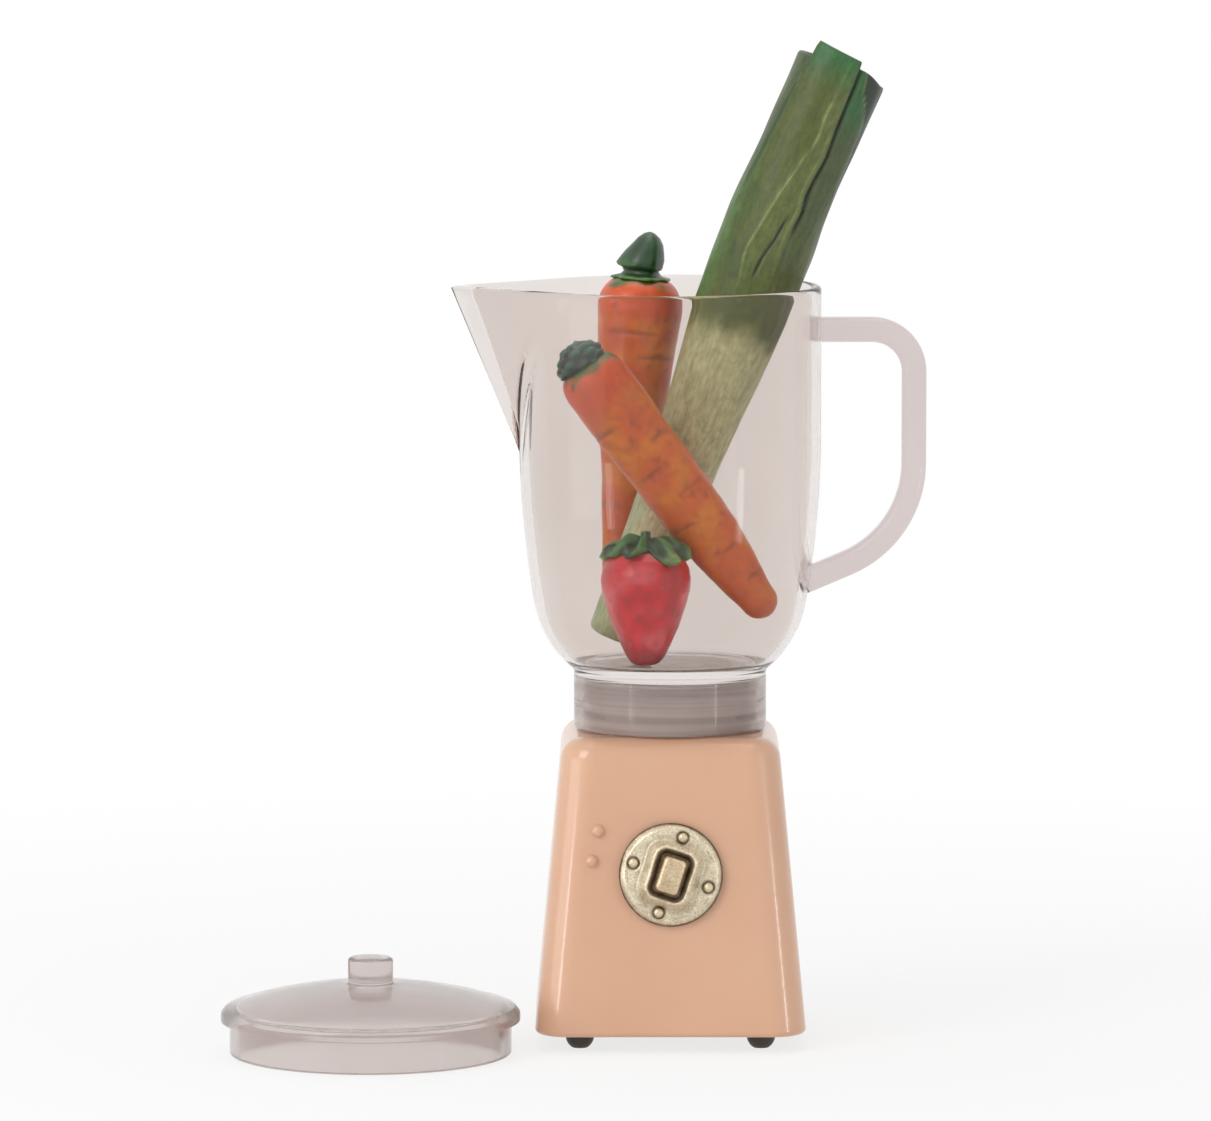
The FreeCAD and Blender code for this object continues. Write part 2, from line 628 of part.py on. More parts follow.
def jug():
    body = new_body("jug")
    side, curves = jug_side("0", "skirt_radius", BOWL_START)
    revolved(body, "jug_block", [
        ("0", SKIRT_FOOT), ("skirt_radius", SKIRT_FOOT), *side, ("0", "jug_height"),
    ], {2: curves[0], 3: curves[1]})
    # The wedge's flanks touch the round wall along a tangent at the rim.
    touch_x = "(jug_radius ^ 2 / spout_reach)"
    touch_y = "(jug_radius * sqrt(1 - (jug_radius / spout_reach) ^ 2))"
    rim = spout_section(body, "spout_rim", "jug_height", "spout_reach", "spout_nose",
                        touch_x, touch_y)
    foot = spout_section(body, "spout_foot", SPOUT_FOOT, "jug_radius", "spout_nose / 2",
                         "jug_radius - jug_wall", "spout_nose")
    loft(body, "spout_block", [foot, rim])
    side, curves = jug_side("jug_wall", "floor_radius", FLOOR_TOP)
    revolved(body, "jug_room", [
        ("0", FLOOR_TOP), *side, ("0", "jug_height"),
    ], {1: curves[0], 2: curves[1]}, "Groove")
    bore_x = f"({JUG_BORE} ^ 2 / (spout_reach - spout_wall))"
    bore_y = f"({JUG_BORE} * sqrt(1 - ({JUG_BORE} / (spout_reach - spout_wall)) ^ 2))"
    channel_rim = spout_section(body, "channel_rim", "jug_height", "spout_reach - spout_wall",
                                "spout_channel_nose", bore_x, bore_y)
    channel_foot = spout_section(body, "channel_foot", SPOUT_FOOT, JUG_BORE,
                                 "spout_nose / 2", f"{JUG_BORE} - jug_wall", "spout_nose")
    loft(body, "spout_channel", [channel_foot, channel_rim], "SubtractiveLoft")
    revolved(body, "skirt_bore", [
        ("0", SKIRT_FOOT), (SKIRT_BORE, SKIRT_FOOT),
        (SKIRT_BORE, FLOOR_UNDERSIDE), ("0", FLOOR_UNDERSIDE),
    ], kind="Groove")
    for name, height in (("upper", HANDLE_TOP), ("lower", LOWER_PEG)):
        hole = new_sketch(body, f"{name}_peg_plan", "YZ_Plane", height="bowl_radius / 2")
        circle(hole, "0", height, "handle_peg")
        feature(body, "Pocket", f"{name}_peg_hole", hole, Length="jug_radius", Reversed=True)
    root = f"({SKIRT_BORE} - boss_core - thread_gap)"
    helix_ridge(body, "skirt_thread", SKIRT_BORE, root, f"({THREAD_FOOT} + thread_pitch / 2)",
                "skirt_turns", False)


def jug_handle():
    body = new_body("jug_handle")
    bend_x = "(handle_reach - handle_bend)"
    sweep_x = "(handle_reach - handle_sweep)"
    turn_sin = "sin(handle_sweep_angle * 1deg)"
    turn_cos = "cos(handle_sweep_angle * 1deg)"
    sweep_end_x = f"({sweep_x} + handle_sweep * {turn_cos})"
    sweep_z = f"({HANDLE_TOP} - handle_sweep_drop)"
    sweep_end_z = f"({sweep_z} - handle_sweep * {turn_sin})"
    path = outline(new_sketch(body, "handle_path", "XZ_Plane"), [
        ("bowl_radius - jug_wall", HANDLE_TOP),
        (bend_x, HANDLE_TOP),
        ("handle_reach", f"{HANDLE_TOP} - handle_bend"),
        ("handle_reach", sweep_z),
        (sweep_end_x, sweep_end_z),
        (f"{sweep_end_x} - handle_tail * {turn_sin}", f"{sweep_end_z} - handle_tail * {turn_cos}"),
    ], {1: ("handle_bend", True), 3: ("handle_sweep", True)}, closed=False)
    section = new_sketch(body, "handle_section", "YZ_Plane", height="bowl_radius - jug_wall")
    half_y = "handle_broad / 2"
    low = f"{HANDLE_TOP} - handle_thick / 2"
    high = f"{HANDLE_TOP} + handle_thick / 2"
    outline(section, [
        (f"({half_y})", f"({low} + handle_edge)"), (f"({half_y})", f"({high} - handle_edge)"),
        (f"({half_y} - handle_edge)", f"({high})"), (f"-({half_y} - handle_edge)", f"({high})"),
        (f"-({half_y})", f"({high} - handle_edge)"), (f"-({half_y})", f"({low} + handle_edge)"),
        (f"-({half_y} - handle_edge)", f"({low})"), (f"({half_y} - handle_edge)", f"({low})"),
    ], {index: ("handle_edge", False) for index in (1, 3, 5, 7)})
    bar = body.newObject("PartDesign::AdditivePipe", "handle_bar")
    bar.Profile = section
    bar.Spine = (path, [f"Edge{number}" for number in range(1, 6)])
    doc.recompute()
    side, curves = jug_side("0", "skirt_radius", BOWL_START)
    revolved(body, "wall_seat", [("0", BOWL_START), *side, ("0", "jug_height")],
             {1: curves[0], 2: curves[1]}, "Groove")
    for name, height, depth in (("upper", HANDLE_TOP, "jug_radius"),
                                ("lower", LOWER_PEG, "bowl_radius + jug_wall / 2")):
        plan = new_sketch(body, f"{name}_peg_round", "YZ_Plane", height=f"{depth} - jug_wall")
        circle(plan, "0", height, "handle_peg")
        feature(body, "Pad", f"{name}_peg", plan, Length="2 * jug_wall")


# Lid


def lid():
    body = new_body("lid")
    outer_cap = cap_radius("lid_shoulder_radius", "lid_apex_rise - lid_shoulder_rise")
    inner_cap = cap_radius(f"{LID_PLUG_RADIUS} - lid_wall", "lid_apex_rise - lid_shoulder_rise")
    revolved(body, "lid_shell", [
        (f"({LID_PLUG_RADIUS} - lid_wall)", "0"), (LID_PLUG_RADIUS, "0"),
        (LID_PLUG_RADIUS, "lid_plug"), ("lid_flange_radius", "lid_plug"),
        ("lid_flange_radius", "lid_plug + lid_flange_height"),
        ("lid_shoulder_radius", "lid_plug + lid_shoulder_rise"),
        ("0", "lid_plug + lid_apex_rise"),
        ("0", "lid_plug + lid_apex_rise - lid_wall"),
        (f"({LID_PLUG_RADIUS} - lid_wall)", "lid_plug + lid_shoulder_rise - lid_wall"),
    ], {4: ("lid_edge_curve", False), 5: (outer_cap, False), 7: (inner_cap, True)})
    knob = revolved(body, "lid_knob", [
        ("0", "lid_plug + lid_apex_rise - lid_wall / 2"),
        ("knob_radius", "lid_plug + lid_apex_rise - lid_wall / 2"),
        ("knob_radius", "knob_height"), ("0", "knob_height"),
    ])
    top = size("knob_height")
    rounded(body, "lid_knob_round", knob, lambda box: box.ZMin > top - NEAR, "knob_edge")
    body.Placement.Base = FreeCAD.Vector(-size("lid_left"), -size("lid_front"), 0)


# Dial


def dial_disc():
    body = new_body("dial_disc")
    under = "dial_gap"
    revolved(body, "disc_turned", [
        ("0", under), ("dial_radius - dial_rim / 4", under),
        ("dial_radius", f"{under} + dial_rim / 4"), ("dial_radius", f"{under} + dial_rim * 0.6"),
        ("dial_radius - dial_rim / 2", f"{under} + dial_rim"), ("0", f"{under} + dial_crown"),
    ], {3: ("dial_rim / 2", False),
        4: (cap_radius("dial_radius - dial_rim / 2", "dial_crown - dial_rim"), False)})
    frame = rounded_rectangle(new_sketch(body, "ridge_plan", height=f"{under} + dial_rim / 2"),
                              "ridge_width / 2", "ridge_length / 2", "ridge_corner")
    ridge = feature(body, "Pad", "ridge", frame, Length="dial_crown - dial_rim / 2 + ridge_rise")
    top = size(f"{under} + dial_crown + ridge_rise")
    ridge = rounded(body, "ridge_round", ridge, lambda box: box.ZMin > top - NEAR,
                    "ridge_rise * 0.8")
    moat = rounded_rectangle(
        new_sketch(body, "moat_plan", height=f"{under} + dial_crown + ridge_rise"),
        "moat_width / 2", "moat_length / 2", "moat_corner")
    feature(body, "Pocket", "moat", moat, Length="moat_depth")
    holes = new_sketch(body, "rivet_plan", height=f"{under} + dial_crown")
    for index in range(4):
        across = f"rivet_circle * {round(math.cos(index * math.pi / 2))}"
        up = f"rivet_circle * {round(math.sin(index * math.pi / 2))}"
        circle(holes, across, up, "rivet_radius * 0.7")
    feature(body, "Pocket", "rivet_holes", holes, Length="dial_crown - dial_rim + rivet_tail")
    body.Placement = dial_place(size("dial_turned"))


def dial_grip():
    body = new_body("dial_grip")
    floor = "(dial_gap + dial_crown + ridge_rise - moat_depth)"
    plan = rounded_rectangle(new_sketch(body, "grip_plan", height=floor),
                             "grip_width / 2", "grip_length / 2", "grip_corner")
    block = feature(body, "Pad", "grip_block", plan, Length="grip_height")
    top = size(f"{floor} + grip_height")
    rounded(body, "grip_round", block, lambda box: box.ZMin > top - NEAR, "grip_edge", "Chamfer")
    body.Placement = dial_place(size("dial_turned"))


def dial_rivets():
    pattern = new_body("rivet")
    seat = "(dial_gap + dial_rim)"
    brim = f"({seat} + (dial_crown - dial_rim) / 2)"
    revolved(pattern, "rivet_turned", [
        ("0", f"{seat} - rivet_tail"), ("rivet_radius * 0.7", f"{seat} - rivet_tail"),
        ("rivet_radius * 0.7", brim), ("rivet_radius", brim), ("0", f"{brim} + rivet_rise"),
    ], {3: (cap_radius("rivet_radius", "rivet_rise"), False)})
    base = dial_place(size("dial_turned"))
    places = []
    for index in range(4):
        angle = index * math.pi / 2
        step = FreeCAD.Vector(math.cos(angle), math.sin(angle), 0) * size("rivet_circle")
        places.append(base.multiply(FreeCAD.Placement(step, FreeCAD.Rotation())))
    scattered("dial_rivets", pattern, places)


WASHER_FACE = "(-casing_wall - washer_gap)"
CLIP_FACE = f"({WASHER_FACE} - washer_thickness)"
SHAFT_FOOT = f"({CLIP_FACE} - clip_thickness - shaft_end)"


def dial_shaft():
    body = new_body("dial_shaft")
    neck = "(shaft_radius - clip_depth)"
    revolved(body, "shaft_turned", [
        ("0", SHAFT_FOOT), ("shaft_radius", SHAFT_FOOT),
        ("shaft_radius", f"{CLIP_FACE} - clip_thickness"), (neck, f"{CLIP_FACE} - clip_thickness"),
        (neck, CLIP_FACE), ("shaft_radius", CLIP_FACE), ("shaft_radius", "dial_gap"), ("0", "dial_gap"),
    ])
    body.Placement = dial_place()


def dial_washer():
    body = new_body("dial_washer")
    revolved(body, "washer_turned", [
        ("shaft_radius + shaft_gap", CLIP_FACE), ("washer_radius", CLIP_FACE),
        ("washer_radius", WASHER_FACE), ("shaft_radius + shaft_gap", WASHER_FACE),
    ])
    body.Placement = dial_place()


def dial_clip():
    body = new_body("dial_clip")
    foot = f"({CLIP_FACE} - clip_thickness)"
    revolved(body, "clip_turned", [
        ("shaft_radius - clip_depth", foot), ("clip_radius", foot),
        ("clip_radius", CLIP_FACE), ("shaft_radius - clip_depth", CLIP_FACE),
    ])
    mouth = outline(new_sketch(body, "clip_mouth_plan", height=CLIP_FACE), [
        ("clip_mouth / 2", "0"), ("clip_mouth / 2", "2 * clip_radius"),
        ("-clip_mouth / 2", "2 * clip_radius"), ("-clip_mouth / 2", "0"),
    ])
    feature(body, "Pocket", "clip_mouth_cut", mouth, Length="clip_thickness")
    body.Placement = dial_place()


# Toy food


def leek():
    body = new_body("leek")
    rings = (
        ("0", "leek_foot_radius", "0"),
        ("leek_neck_at", "leek_neck_radius", "0"),
        ("leek_leaf_at", "leek_leaf_radius", "0"),
        ("leek_length", "leek_top_radius", "leek_top_shift"),
    )
    sections = []
    for index, (height, radius, shift) in enumerate(rings):
        section = new_sketch(body, f"leek_ring_{index}", height=height)
        circle(section, shift, "0", radius)
        sections.append(section)
    loft(body, "leek_stem", sections, ruled=True)
    lean = FreeCAD.Rotation(FreeCAD.Vector(0, 1, 0), size("leek_lean"))
    foot = FreeCAD.Vector(size("leek_foot_x"), size("leek_foot_y"), size("leek_foot_height"))
    body.Placement = FreeCAD.Placement(foot, lean)


def point_of(prefix):
    return (size(f"{prefix}_x"), size(f"{prefix}_y"), size(f"{prefix}_height"))


def carrot(which):
    """Tapered root and the stub of its leaves, both on the line from tip to head."""
    tip = point_of(f"{which}_tip")
    head = point_of(f"{which}_head")
    length = f"sqrt(({which}_head_x - {which}_tip_x) ^ 2 + ({which}_head_y - {which}_tip_y) ^ 2" \
             f" + ({which}_head_height - {which}_tip_height) ^ 2)"
    shoulder = f"({length} - {which}_radius * 0.75)"
    root = new_body(f"carrot_{which}_root")
    revolved(root, f"carrot_{which}_turned", [
        ("0", "0"), (f"{which}_tip_radius", f"{which}_tip_radius"),
        (f"{which}_belly_radius", f"{which}_belly_at"), (f"{which}_radius", shoulder),
        (f"{which}_top_radius * 0.8", length), ("0", length),
    ], {0: (f"{which}_tip_radius", False), 3: (f"{which}_radius", False)})
    root.Placement = aimed(tip, head)
    top = new_body(f"carrot_{which}_top")
    revolved(top, f"carrot_{which}_stub", [
        ("0", length), (f"{which}_top_radius * 0.8", length),
        (f"{which}_top_radius", f"{length} + {which}_top_height * 0.3"),
        (f"{which}_top_radius * 0.35", f"{length} + {which}_top_height * 0.95"),
        ("0", f"{length} + {which}_top_height"),
    ], {2: (f"{which}_top_height * 1.6", False)})
    top.Placement = aimed(tip, head)


def strawberry():
    berry = new_body("strawberry_berry")
    revolved(berry, "berry_turned", [
        ("0", "0"), ("berry_radius * 0.28", "berry_height * 0.06"),
        ("berry_radius", "berry_widest"),
        ("berry_radius * 0.5", "berry_height"), ("0", "berry_height"),
    ], {1: ("berry_widest * 1.9", False), 2: ("berry_radius * 0.95", False)})
    calyx = new_body("strawberry_calyx")
    revolved(calyx, "calyx_turned", [
        ("0", "berry_height"), ("berry_radius * 0.5", "berry_height"),
        ("calyx_radius", "berry_height + calyx_thickness * 0.2"),
        ("calyx_radius * 0.9", "berry_height + calyx_thickness"),
        ("calyx_radius * 0.3", "berry_height + calyx_thickness * 1.6"),
        ("0", "berry_height + calyx_thickness * 2.6"),
    ])
    notch = outline(new_sketch(calyx, "calyx_notch_plan", height="berry_height"), [
        ("calyx_radius - calyx_notch", "0"), ("calyx_radius * 1.1", "-calyx_radius * 0.35"),
        ("calyx_radius * 1.1", "calyx_radius * 0.35"),
    ])
    cut = feature(calyx, "Pocket", "calyx_notch_cut", notch, Length="4 * calyx_thickness",
                  Reversed=True)
    pattern = calyx.newObject("PartDesign::PolarPattern", "calyx_notches")
    pattern.Originals = [cut]
    pattern.Axis = (notch, ["N_Axis"])
    pattern.Angle = 360.0
    pattern.Occurrences = 6
    calyx.Tip = pattern
    doc.recompute()
    for body in (berry, calyx):
        body.Placement.Base = FreeCAD.Vector(size("berry_x"), size("berry_y"), size("berry_foot"))


for build in (casing, base_plate, feet, base_plate_screws, jug_boss, boss_screws, seal_ring, jug,
              jug_handle, lid, dial_disc, dial_grip, dial_rivets, dial_shaft, dial_washer,
              dial_clip, leek):
    build()
for which in ("rear", "front"):
    carrot(which)
strawberry()
doc.recompute()

faults = [item.Name for item in doc.Objects if {"Invalid", "Error"} & set(item.State)]
for label, node in NODES.items():
    if node.Shape.isNull() or not node.Shape.isValid() or not node.Shape.Solids:
        faults.append(label)
if faults:
    raise RuntimeError("these did not build: " + ", ".join(faults))

os.makedirs("parts", exist_ok=True)
for label, node in NODES.items():
    node.Shape.exportStep(os.path.join("parts", label + ".step"))
    box = node.Shape.BoundBox
    print(f"{label:20s} solids {len(node.Shape.Solids)} volume {node.Shape.Volume:9.2f}"
          f" x {box.XMin:7.2f} {box.XMax:7.2f} y {box.YMin:7.2f} {box.YMax:7.2f}"
          f" z {box.ZMin:7.2f} {box.ZMax:7.2f}")
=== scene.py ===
import math
from math import cos, sin

import bmesh
import bpy
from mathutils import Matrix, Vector, noise


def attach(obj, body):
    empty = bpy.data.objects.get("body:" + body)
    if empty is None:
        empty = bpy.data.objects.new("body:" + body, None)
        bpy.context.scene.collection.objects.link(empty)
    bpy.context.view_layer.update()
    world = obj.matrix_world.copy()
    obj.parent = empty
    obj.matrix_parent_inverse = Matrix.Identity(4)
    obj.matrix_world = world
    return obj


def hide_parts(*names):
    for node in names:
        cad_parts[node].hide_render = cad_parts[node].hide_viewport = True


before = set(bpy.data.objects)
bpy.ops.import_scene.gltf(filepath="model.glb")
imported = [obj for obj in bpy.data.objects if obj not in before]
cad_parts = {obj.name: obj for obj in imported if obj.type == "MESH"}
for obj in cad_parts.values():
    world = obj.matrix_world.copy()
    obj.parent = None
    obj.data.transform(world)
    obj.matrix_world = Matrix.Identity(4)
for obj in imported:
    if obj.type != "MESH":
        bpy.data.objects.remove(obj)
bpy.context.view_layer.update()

MM = 0.001
FULL_TURN = 2 * math.pi


# Materials


def set_up(tree, node, **values):
    """Set a node's attributes and inputs by name. A socket given for an input is linked."""
    for key, value in values.items():
        name = key.replace("_", " ")
        if isinstance(value, bpy.types.NodeSocket):
            tree.links.new(value, node.inputs[name])
        elif hasattr(node, key):
            setattr(node, key, value)
        else:
            node.inputs[name].default_value = value
    return node


def add_node(tree, kind, **values):
    return set_up(tree, tree.nodes.new("ShaderNode" + kind), **values)


def new_material(name, **values):
    """Material, its node tree and its Principled shader, whose inputs are set by name."""
    material = bpy.data.materials.new(name)
    material.use_nodes = True
    tree = material.node_tree
    return material, tree, set_up(tree, tree.nodes["Principled BSDF"], **values)


def srgb(red, green, blue):
    """Linear colour of an sRGB one given in 0 to 255."""
    def linear(value):
        value = value / 255
        return value / 12.92 if value <= 0.04045 else ((value + 0.055) / 1.055) ** 2.4
    return (linear(red), linear(green), linear(blue), 1.0)


def scaled(colour, factor):
    """Opaque linear colour made darker or lighter."""
    return tuple(min(channel * factor, 1.0) for channel in colour[:3]) + (1.0,)


def grey(level):
    return (level, level, level, 1.0)


def ramp(tree, source, *stops):
    """Colour ramp fed by a socket. Stops are pairs of place and colour."""
    node = add_node(tree, "ValToRGB", Fac=source)
    elements = node.color_ramp.elements
    while len(elements) < len(stops):
        elements.new(0.5)
    for element, (place, colour) in zip(elements, stops):
        element.position = place
        element.color = colour
    return node.outputs["Color"]


def object_coordinates(tree):
    return add_node(tree, "TexCoord").outputs["Object"]


def noise_of(tree, scale, detail=2.0, rough=0.5, vector=None):
    """Noise over object coordinates or over those given."""
    node = add_node(tree, "TexNoise", Scale=scale, Detail=detail, Roughness=rough,
                    Vector=vector or object_coordinates(tree))
    return node.outputs["Fac"]


def attribute(tree, name, kind):
    return add_node(tree, "Attribute", attribute_name=name).outputs[kind]


def bump(tree, shader, height, strength, distance):
    node = add_node(tree, "Bump", Strength=strength, Distance=distance, Height=height)
    set_up(tree, shader, Normal=node.outputs["Normal"])


def moulded(name, low, high, cloud_scale, fine_scale, strength, distance, **values):
    """Finish with a cloudy tone between two colours and with fine bumps."""
    material, tree, shader = new_material(name, **values)
    cloud = ramp(tree, noise_of(tree, cloud_scale, 3.0), (0.3, low), (0.7, high))
    set_up(tree, shader, Base_Color=cloud)
    bump(tree, shader, noise_of(tree, fine_scale), strength, distance)
    return material


def plain(name, colour, rough=0.5, metallic=0.0):
    return moulded(name, scaled(colour, 0.86), colour, 400.0, 2500.0, 0.15, 0.00005,
                   Roughness=rough, Metallic=metallic)


# Heights in metres between which the jug's clear bowl turns into its cloudy skirt
SKIRT_TOP = 0.0376
BOWL_FOOT = 0.0384
SKIRT_CLEARNESS = 0.68


def clear_plastic(name, tint, rough=0.02, index=1.18, clear=0.985, skirt=None):
    """Clear plastic with faint moulding waves. Its tint and that of its skirt are linear."""
    material, tree, shader = new_material(
        name, Roughness=rough, IOR=index, Transmission_Weight=clear)
    colour = ramp(tree, noise_of(tree, 45.0),
                  (0.35, scaled(tint, 0.975)), (0.65, scaled(tint, 1.02)))
    if skirt:
        colour, level = skirt_with_painted_rings(tree, colour, skirt, clear)
        set_up(tree, shader, Transmission_Weight=level)
    set_up(tree, shader, Base_Color=colour)
    bump(tree, shader, noise_of(tree, 130.0), 0.12, 0.0003)
    return material


def skirt_with_painted_rings(tree, colour, skirt, clear):
    """Colour and clearness of a jug whose skirt is darker and cloudier than its bowl, and ringed
    with painted highlights and dark painted reflections.
    """
    place = object_coordinates(tree)
    flat = add_node(tree, "Mapping", Scale=(25.0, 25.0, 1500.0), Vector=place).outputs["Vector"]
    # Painted highlights and reflections: light and dark horizontal rings in the skirt's colour.
    rings = ramp(tree, noise_of(tree, 1.0, vector=flat),
                 (0.38, scaled(skirt, 0.86)), (0.62, scaled(skirt, 1.14)))
    height = add_node(tree, "SeparateXYZ", Vector=place).outputs["Z"]
    above = add_node(tree, "MapRange", From_Min=SKIRT_TOP, From_Max=BOWL_FOOT,
                     Value=height).outputs["Result"]
    mix = add_node(tree, "MixRGB", Fac=above, Color1=rings, Color2=colour)
    level = add_node(tree, "MapRange", To_Min=SKIRT_CLEARNESS, To_Max=clear, Value=above)
    return mix.outputs["Color"], level.outputs["Result"]


def toned(tree, shader, first, second):
    """Colour a shader by the mesh's own tone, multiplied by two colours."""
    colour = attribute(tree, "tone", "Color")
    for factor in (first, second):
        colour = add_node(tree, "MixRGB", blend_type="MULTIPLY", Fac=1.0,
                          Color1=colour, Color2=factor).outputs["Color"]
    set_up(tree, shader, Base_Color=colour)


def painted(name, rough, streak_scale, fine_scale, depth, coat, lift=1.0, spread=0.23):
    """Hand-painted finish: the mesh's own tone under brush streaks and fine specks."""
    material, tree, shader = new_material(
        name, Roughness=rough, Coat_Weight=coat, Coat_Roughness=0.25)
    streaks = noise_of(tree, streak_scale, 4.0, 0.6, attribute(tree, "grain", "Vector"))
    specks = noise_of(tree, fine_scale, 3.0, 0.6)
    toned(tree, shader,
          ramp(tree, streaks,
               (0.3, grey(lift * (0.97 - spread))), (0.7, grey(lift * (0.96 + spread)))),
          ramp(tree, specks, (0.34, grey(0.8)), (0.5, grey(1.0))))
    bump(tree, shader, streaks, 0.5, depth)
    return material


def pewter():
    """Cast metal with grainy sparkle. The mesh's tone carries its patina and the painted shade at
    the dial's rim.
    """
    material, tree, shader = new_material("cast_pewter", Metallic=0.75, Roughness=0.36)
    sparkle = noise_of(tree, 5200.0, 3.0, 0.7)
    toned(tree, shader,
          ramp(tree, sparkle, (0.32, (0.72, 0.7, 0.66, 1.0)), (0.68, (1.3, 1.28, 1.24, 1.0))),
          ramp(tree, noise_of(tree, 700.0, 3.0, 0.6),
               (0.35, (0.88, 0.86, 0.82, 1.0)), (0.6, grey(1.05))))
    bump(tree, shader, sparkle, 0.35, 0.00006)
    return material


CLEAR = clear_plastic("clear_rose", (0.825, 0.775, 0.748), skirt=(0.67, 0.59, 0.56))
HANDLE_CLEAR = clear_plastic("clear_handle", (0.69, 0.61, 0.6), 0.03, 1.28, 0.94)
LID_CLEAR = clear_plastic("clear_lid", (0.71, 0.645, 0.622), 0.14, 1.28, 0.92)
LEEK = painted("leek_paint", 0.5, 2.6, 1500.0, 0.00012, 0.15, 1.12)
CARROT = painted("carrot_paint", 0.42, 0.9, 1000.0, 0.00006, 0.3, 0.88, 0.11)
LEAF = painted("leaf_paint", 0.42, 1.1, 1500.0, 0.00008, 0.3)
BERRY = painted("berry_paint", 0.36, 0.7, 900.0, 0.00003, 0.4, 1.16, 0.14)
PEWTER = pewter()
FINISHES = {
    moulded("peach_gloss", srgb(224, 173, 139), srgb(230, 181, 147), 60.0, 900.0, 0.08, 0.0002,
            Roughness=0.34, IOR=1.5, Coat_Weight=0.7, Coat_Roughness=0.14): ("base_casing",),
    plain("base_plate", srgb(205, 160, 134), 0.45): ("base_plate",),
    moulded("smoky_plastic", srgb(232, 218, 210), srgb(250, 242, 236), 260.0, 500.0, 0.2, 0.0001,
            Transmission_Weight=0.45, Roughness=0.16, IOR=1.35): ("jug_boss",),
    plain("dark_rubber", srgb(74, 62, 46), 0.5): (
        "foot_front_left", "foot_front_right", "foot_rear_left", "foot_rear_right"),
    plain("steel", srgb(160, 158, 152), 0.3, 1.0): (
        "base_plate_screws", "boss_screws", "dial_shaft", "dial_washer", "dial_clip"),
    plain("seal_rubber", srgb(206, 202, 196), 0.5): ("seal_ring",),
}
for finish, nodes in FINISHES.items():
    for node in nodes:
        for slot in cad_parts[node].material_slots:
            slot.material = finish


# Mesh making. Points are in millimetres and are scaled as a piece is made.

ORIGIN = (0.0, 0.0, 0.0)


def flattened(rows):
    return [item for row in rows for item in row]


def skin(rings):
    """Faces of a surface through rings of points. A ring of one point is a pole."""
    faces = []
    low = 0
    for first, second in zip(rings, rings[1:]):
        high = low + len(first)
        count = max(len(first), len(second))
        for index in range(count):
            after = (index + 1) % count
            if len(first) == 1:
                faces.append((low, high + index, high + after))
            elif len(second) == 1:
                faces.append((low + index, low + after, high))
            else:
                faces.append((low + index, low + after, high + after, high + index))
        low = high
    return faces


def add_layer(mesh, name, kind, key, rows):
    """Give each point of a mesh a value of its own."""
    if rows:
        mesh.attributes.new(name, kind, "POINT").data.foreach_set(key, flattened(rows))


def add_object(name, data):
    thing = bpy.data.objects.new(name, data)
    bpy.context.scene.collection.objects.link(thing)
    return thing


def make_piece(name, rings, material, body, nodes, tones=None, grain=None):
    """Closed smooth mesh through rings. It rides on a body and stands for its CAD nodes."""
    mesh = bpy.data.meshes.new(name)
    points = [tuple(value * MM for value in point) for point in flattened(rings)]
    mesh.from_pydata(points, [], skin(rings))
    work = bmesh.new()
    work.from_mesh(mesh)
    bmesh.ops.recalc_face_normals(work, faces=work.faces)
    work.to_mesh(mesh)
    work.free()
    mesh.shade_smooth()
    mesh.materials.append(material)
    add_layer(mesh, "tone", "FLOAT_COLOR", "color", tones)
    add_layer(mesh, "grain", "FLOAT_VECTOR", "vector", grain)
    piece = add_object(name, mesh)
    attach(piece, body)
    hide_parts(*nodes)


def clamped(value):
    return min(max(value, 0.0), 1.0)


def mixed(first, second, share):
    share = clamped(share)
    return tuple(a + (b - a) * share for a, b in zip(first, second))


def layered(tone, *coats):
    """Linear colour of an sRGB tone under coats, each a tone and its share."""
    for coat, share in coats:
        tone = mixed(tone, coat, share)
    return srgb(*tone)


def step(value, low, high):
    """Smooth rise from 0 to 1 between two places."""
    share = clamped((value - low) / (high - low))
    return share * share * (3 - 2 * share)


def fall(value, low, high):
    """Smooth fall from 1 to 0 between two places."""
    return 1 - step(value, low, high)


def bell(value, width):
    return math.exp(-(value / width) ** 2)


def table(value, rows):
    """Straight-line reading of a table of places and values."""
    if value <= rows[0][0]:
        return rows[0][1]
    for (low, first), (high, second) in zip(rows, rows[1:]):
        if value <= high:
            return first + (second - first) * (value - low) / (high - low)
    return rows[-1][1]


def spaced(low, high, count):
    return [low + (high - low) * index / count for index in range(count + 1)]


def round_columns(count):
    return [FULL_TURN * index / count for index in range(count)]


def stepped(low, high, stride):
    """Angles in degrees between two of them. The stride is a function of the angle."""
    angles = []
    while low < high:
        angles.append(low)
        low += stride(low)
    return angles


def spot(centre, reach, turn, height):
    """Point at a radius, an angle and a height from a centre."""
    return (centre[0] + reach * cos(turn), centre[1] + reach * sin(turn), centre[2] + height)


def circle(centre, reach, height, columns):
    """Round ring. A radius of 0 gives a pole."""
    return [spot(centre, reach, turn, height) for turn in (columns if reach else columns[:1])]


def arc_reach(height, low, high, curve):
    """Radius at a height on the arc that bulges outwards between two points."""
    across, up = high[0] - low[0], high[1] - low[1]
    chord = math.hypot(across, up)
    inward = math.sqrt(curve ** 2 - chord ** 2 / 4)
    centre_reach = (low[0] + high[0]) / 2 - up / chord * inward
    centre_height = (low[1] + high[1]) / 2 + across / chord * inward
    return centre_reach + math.sqrt(max(curve ** 2 - (height - centre_height) ** 2, 0.0))


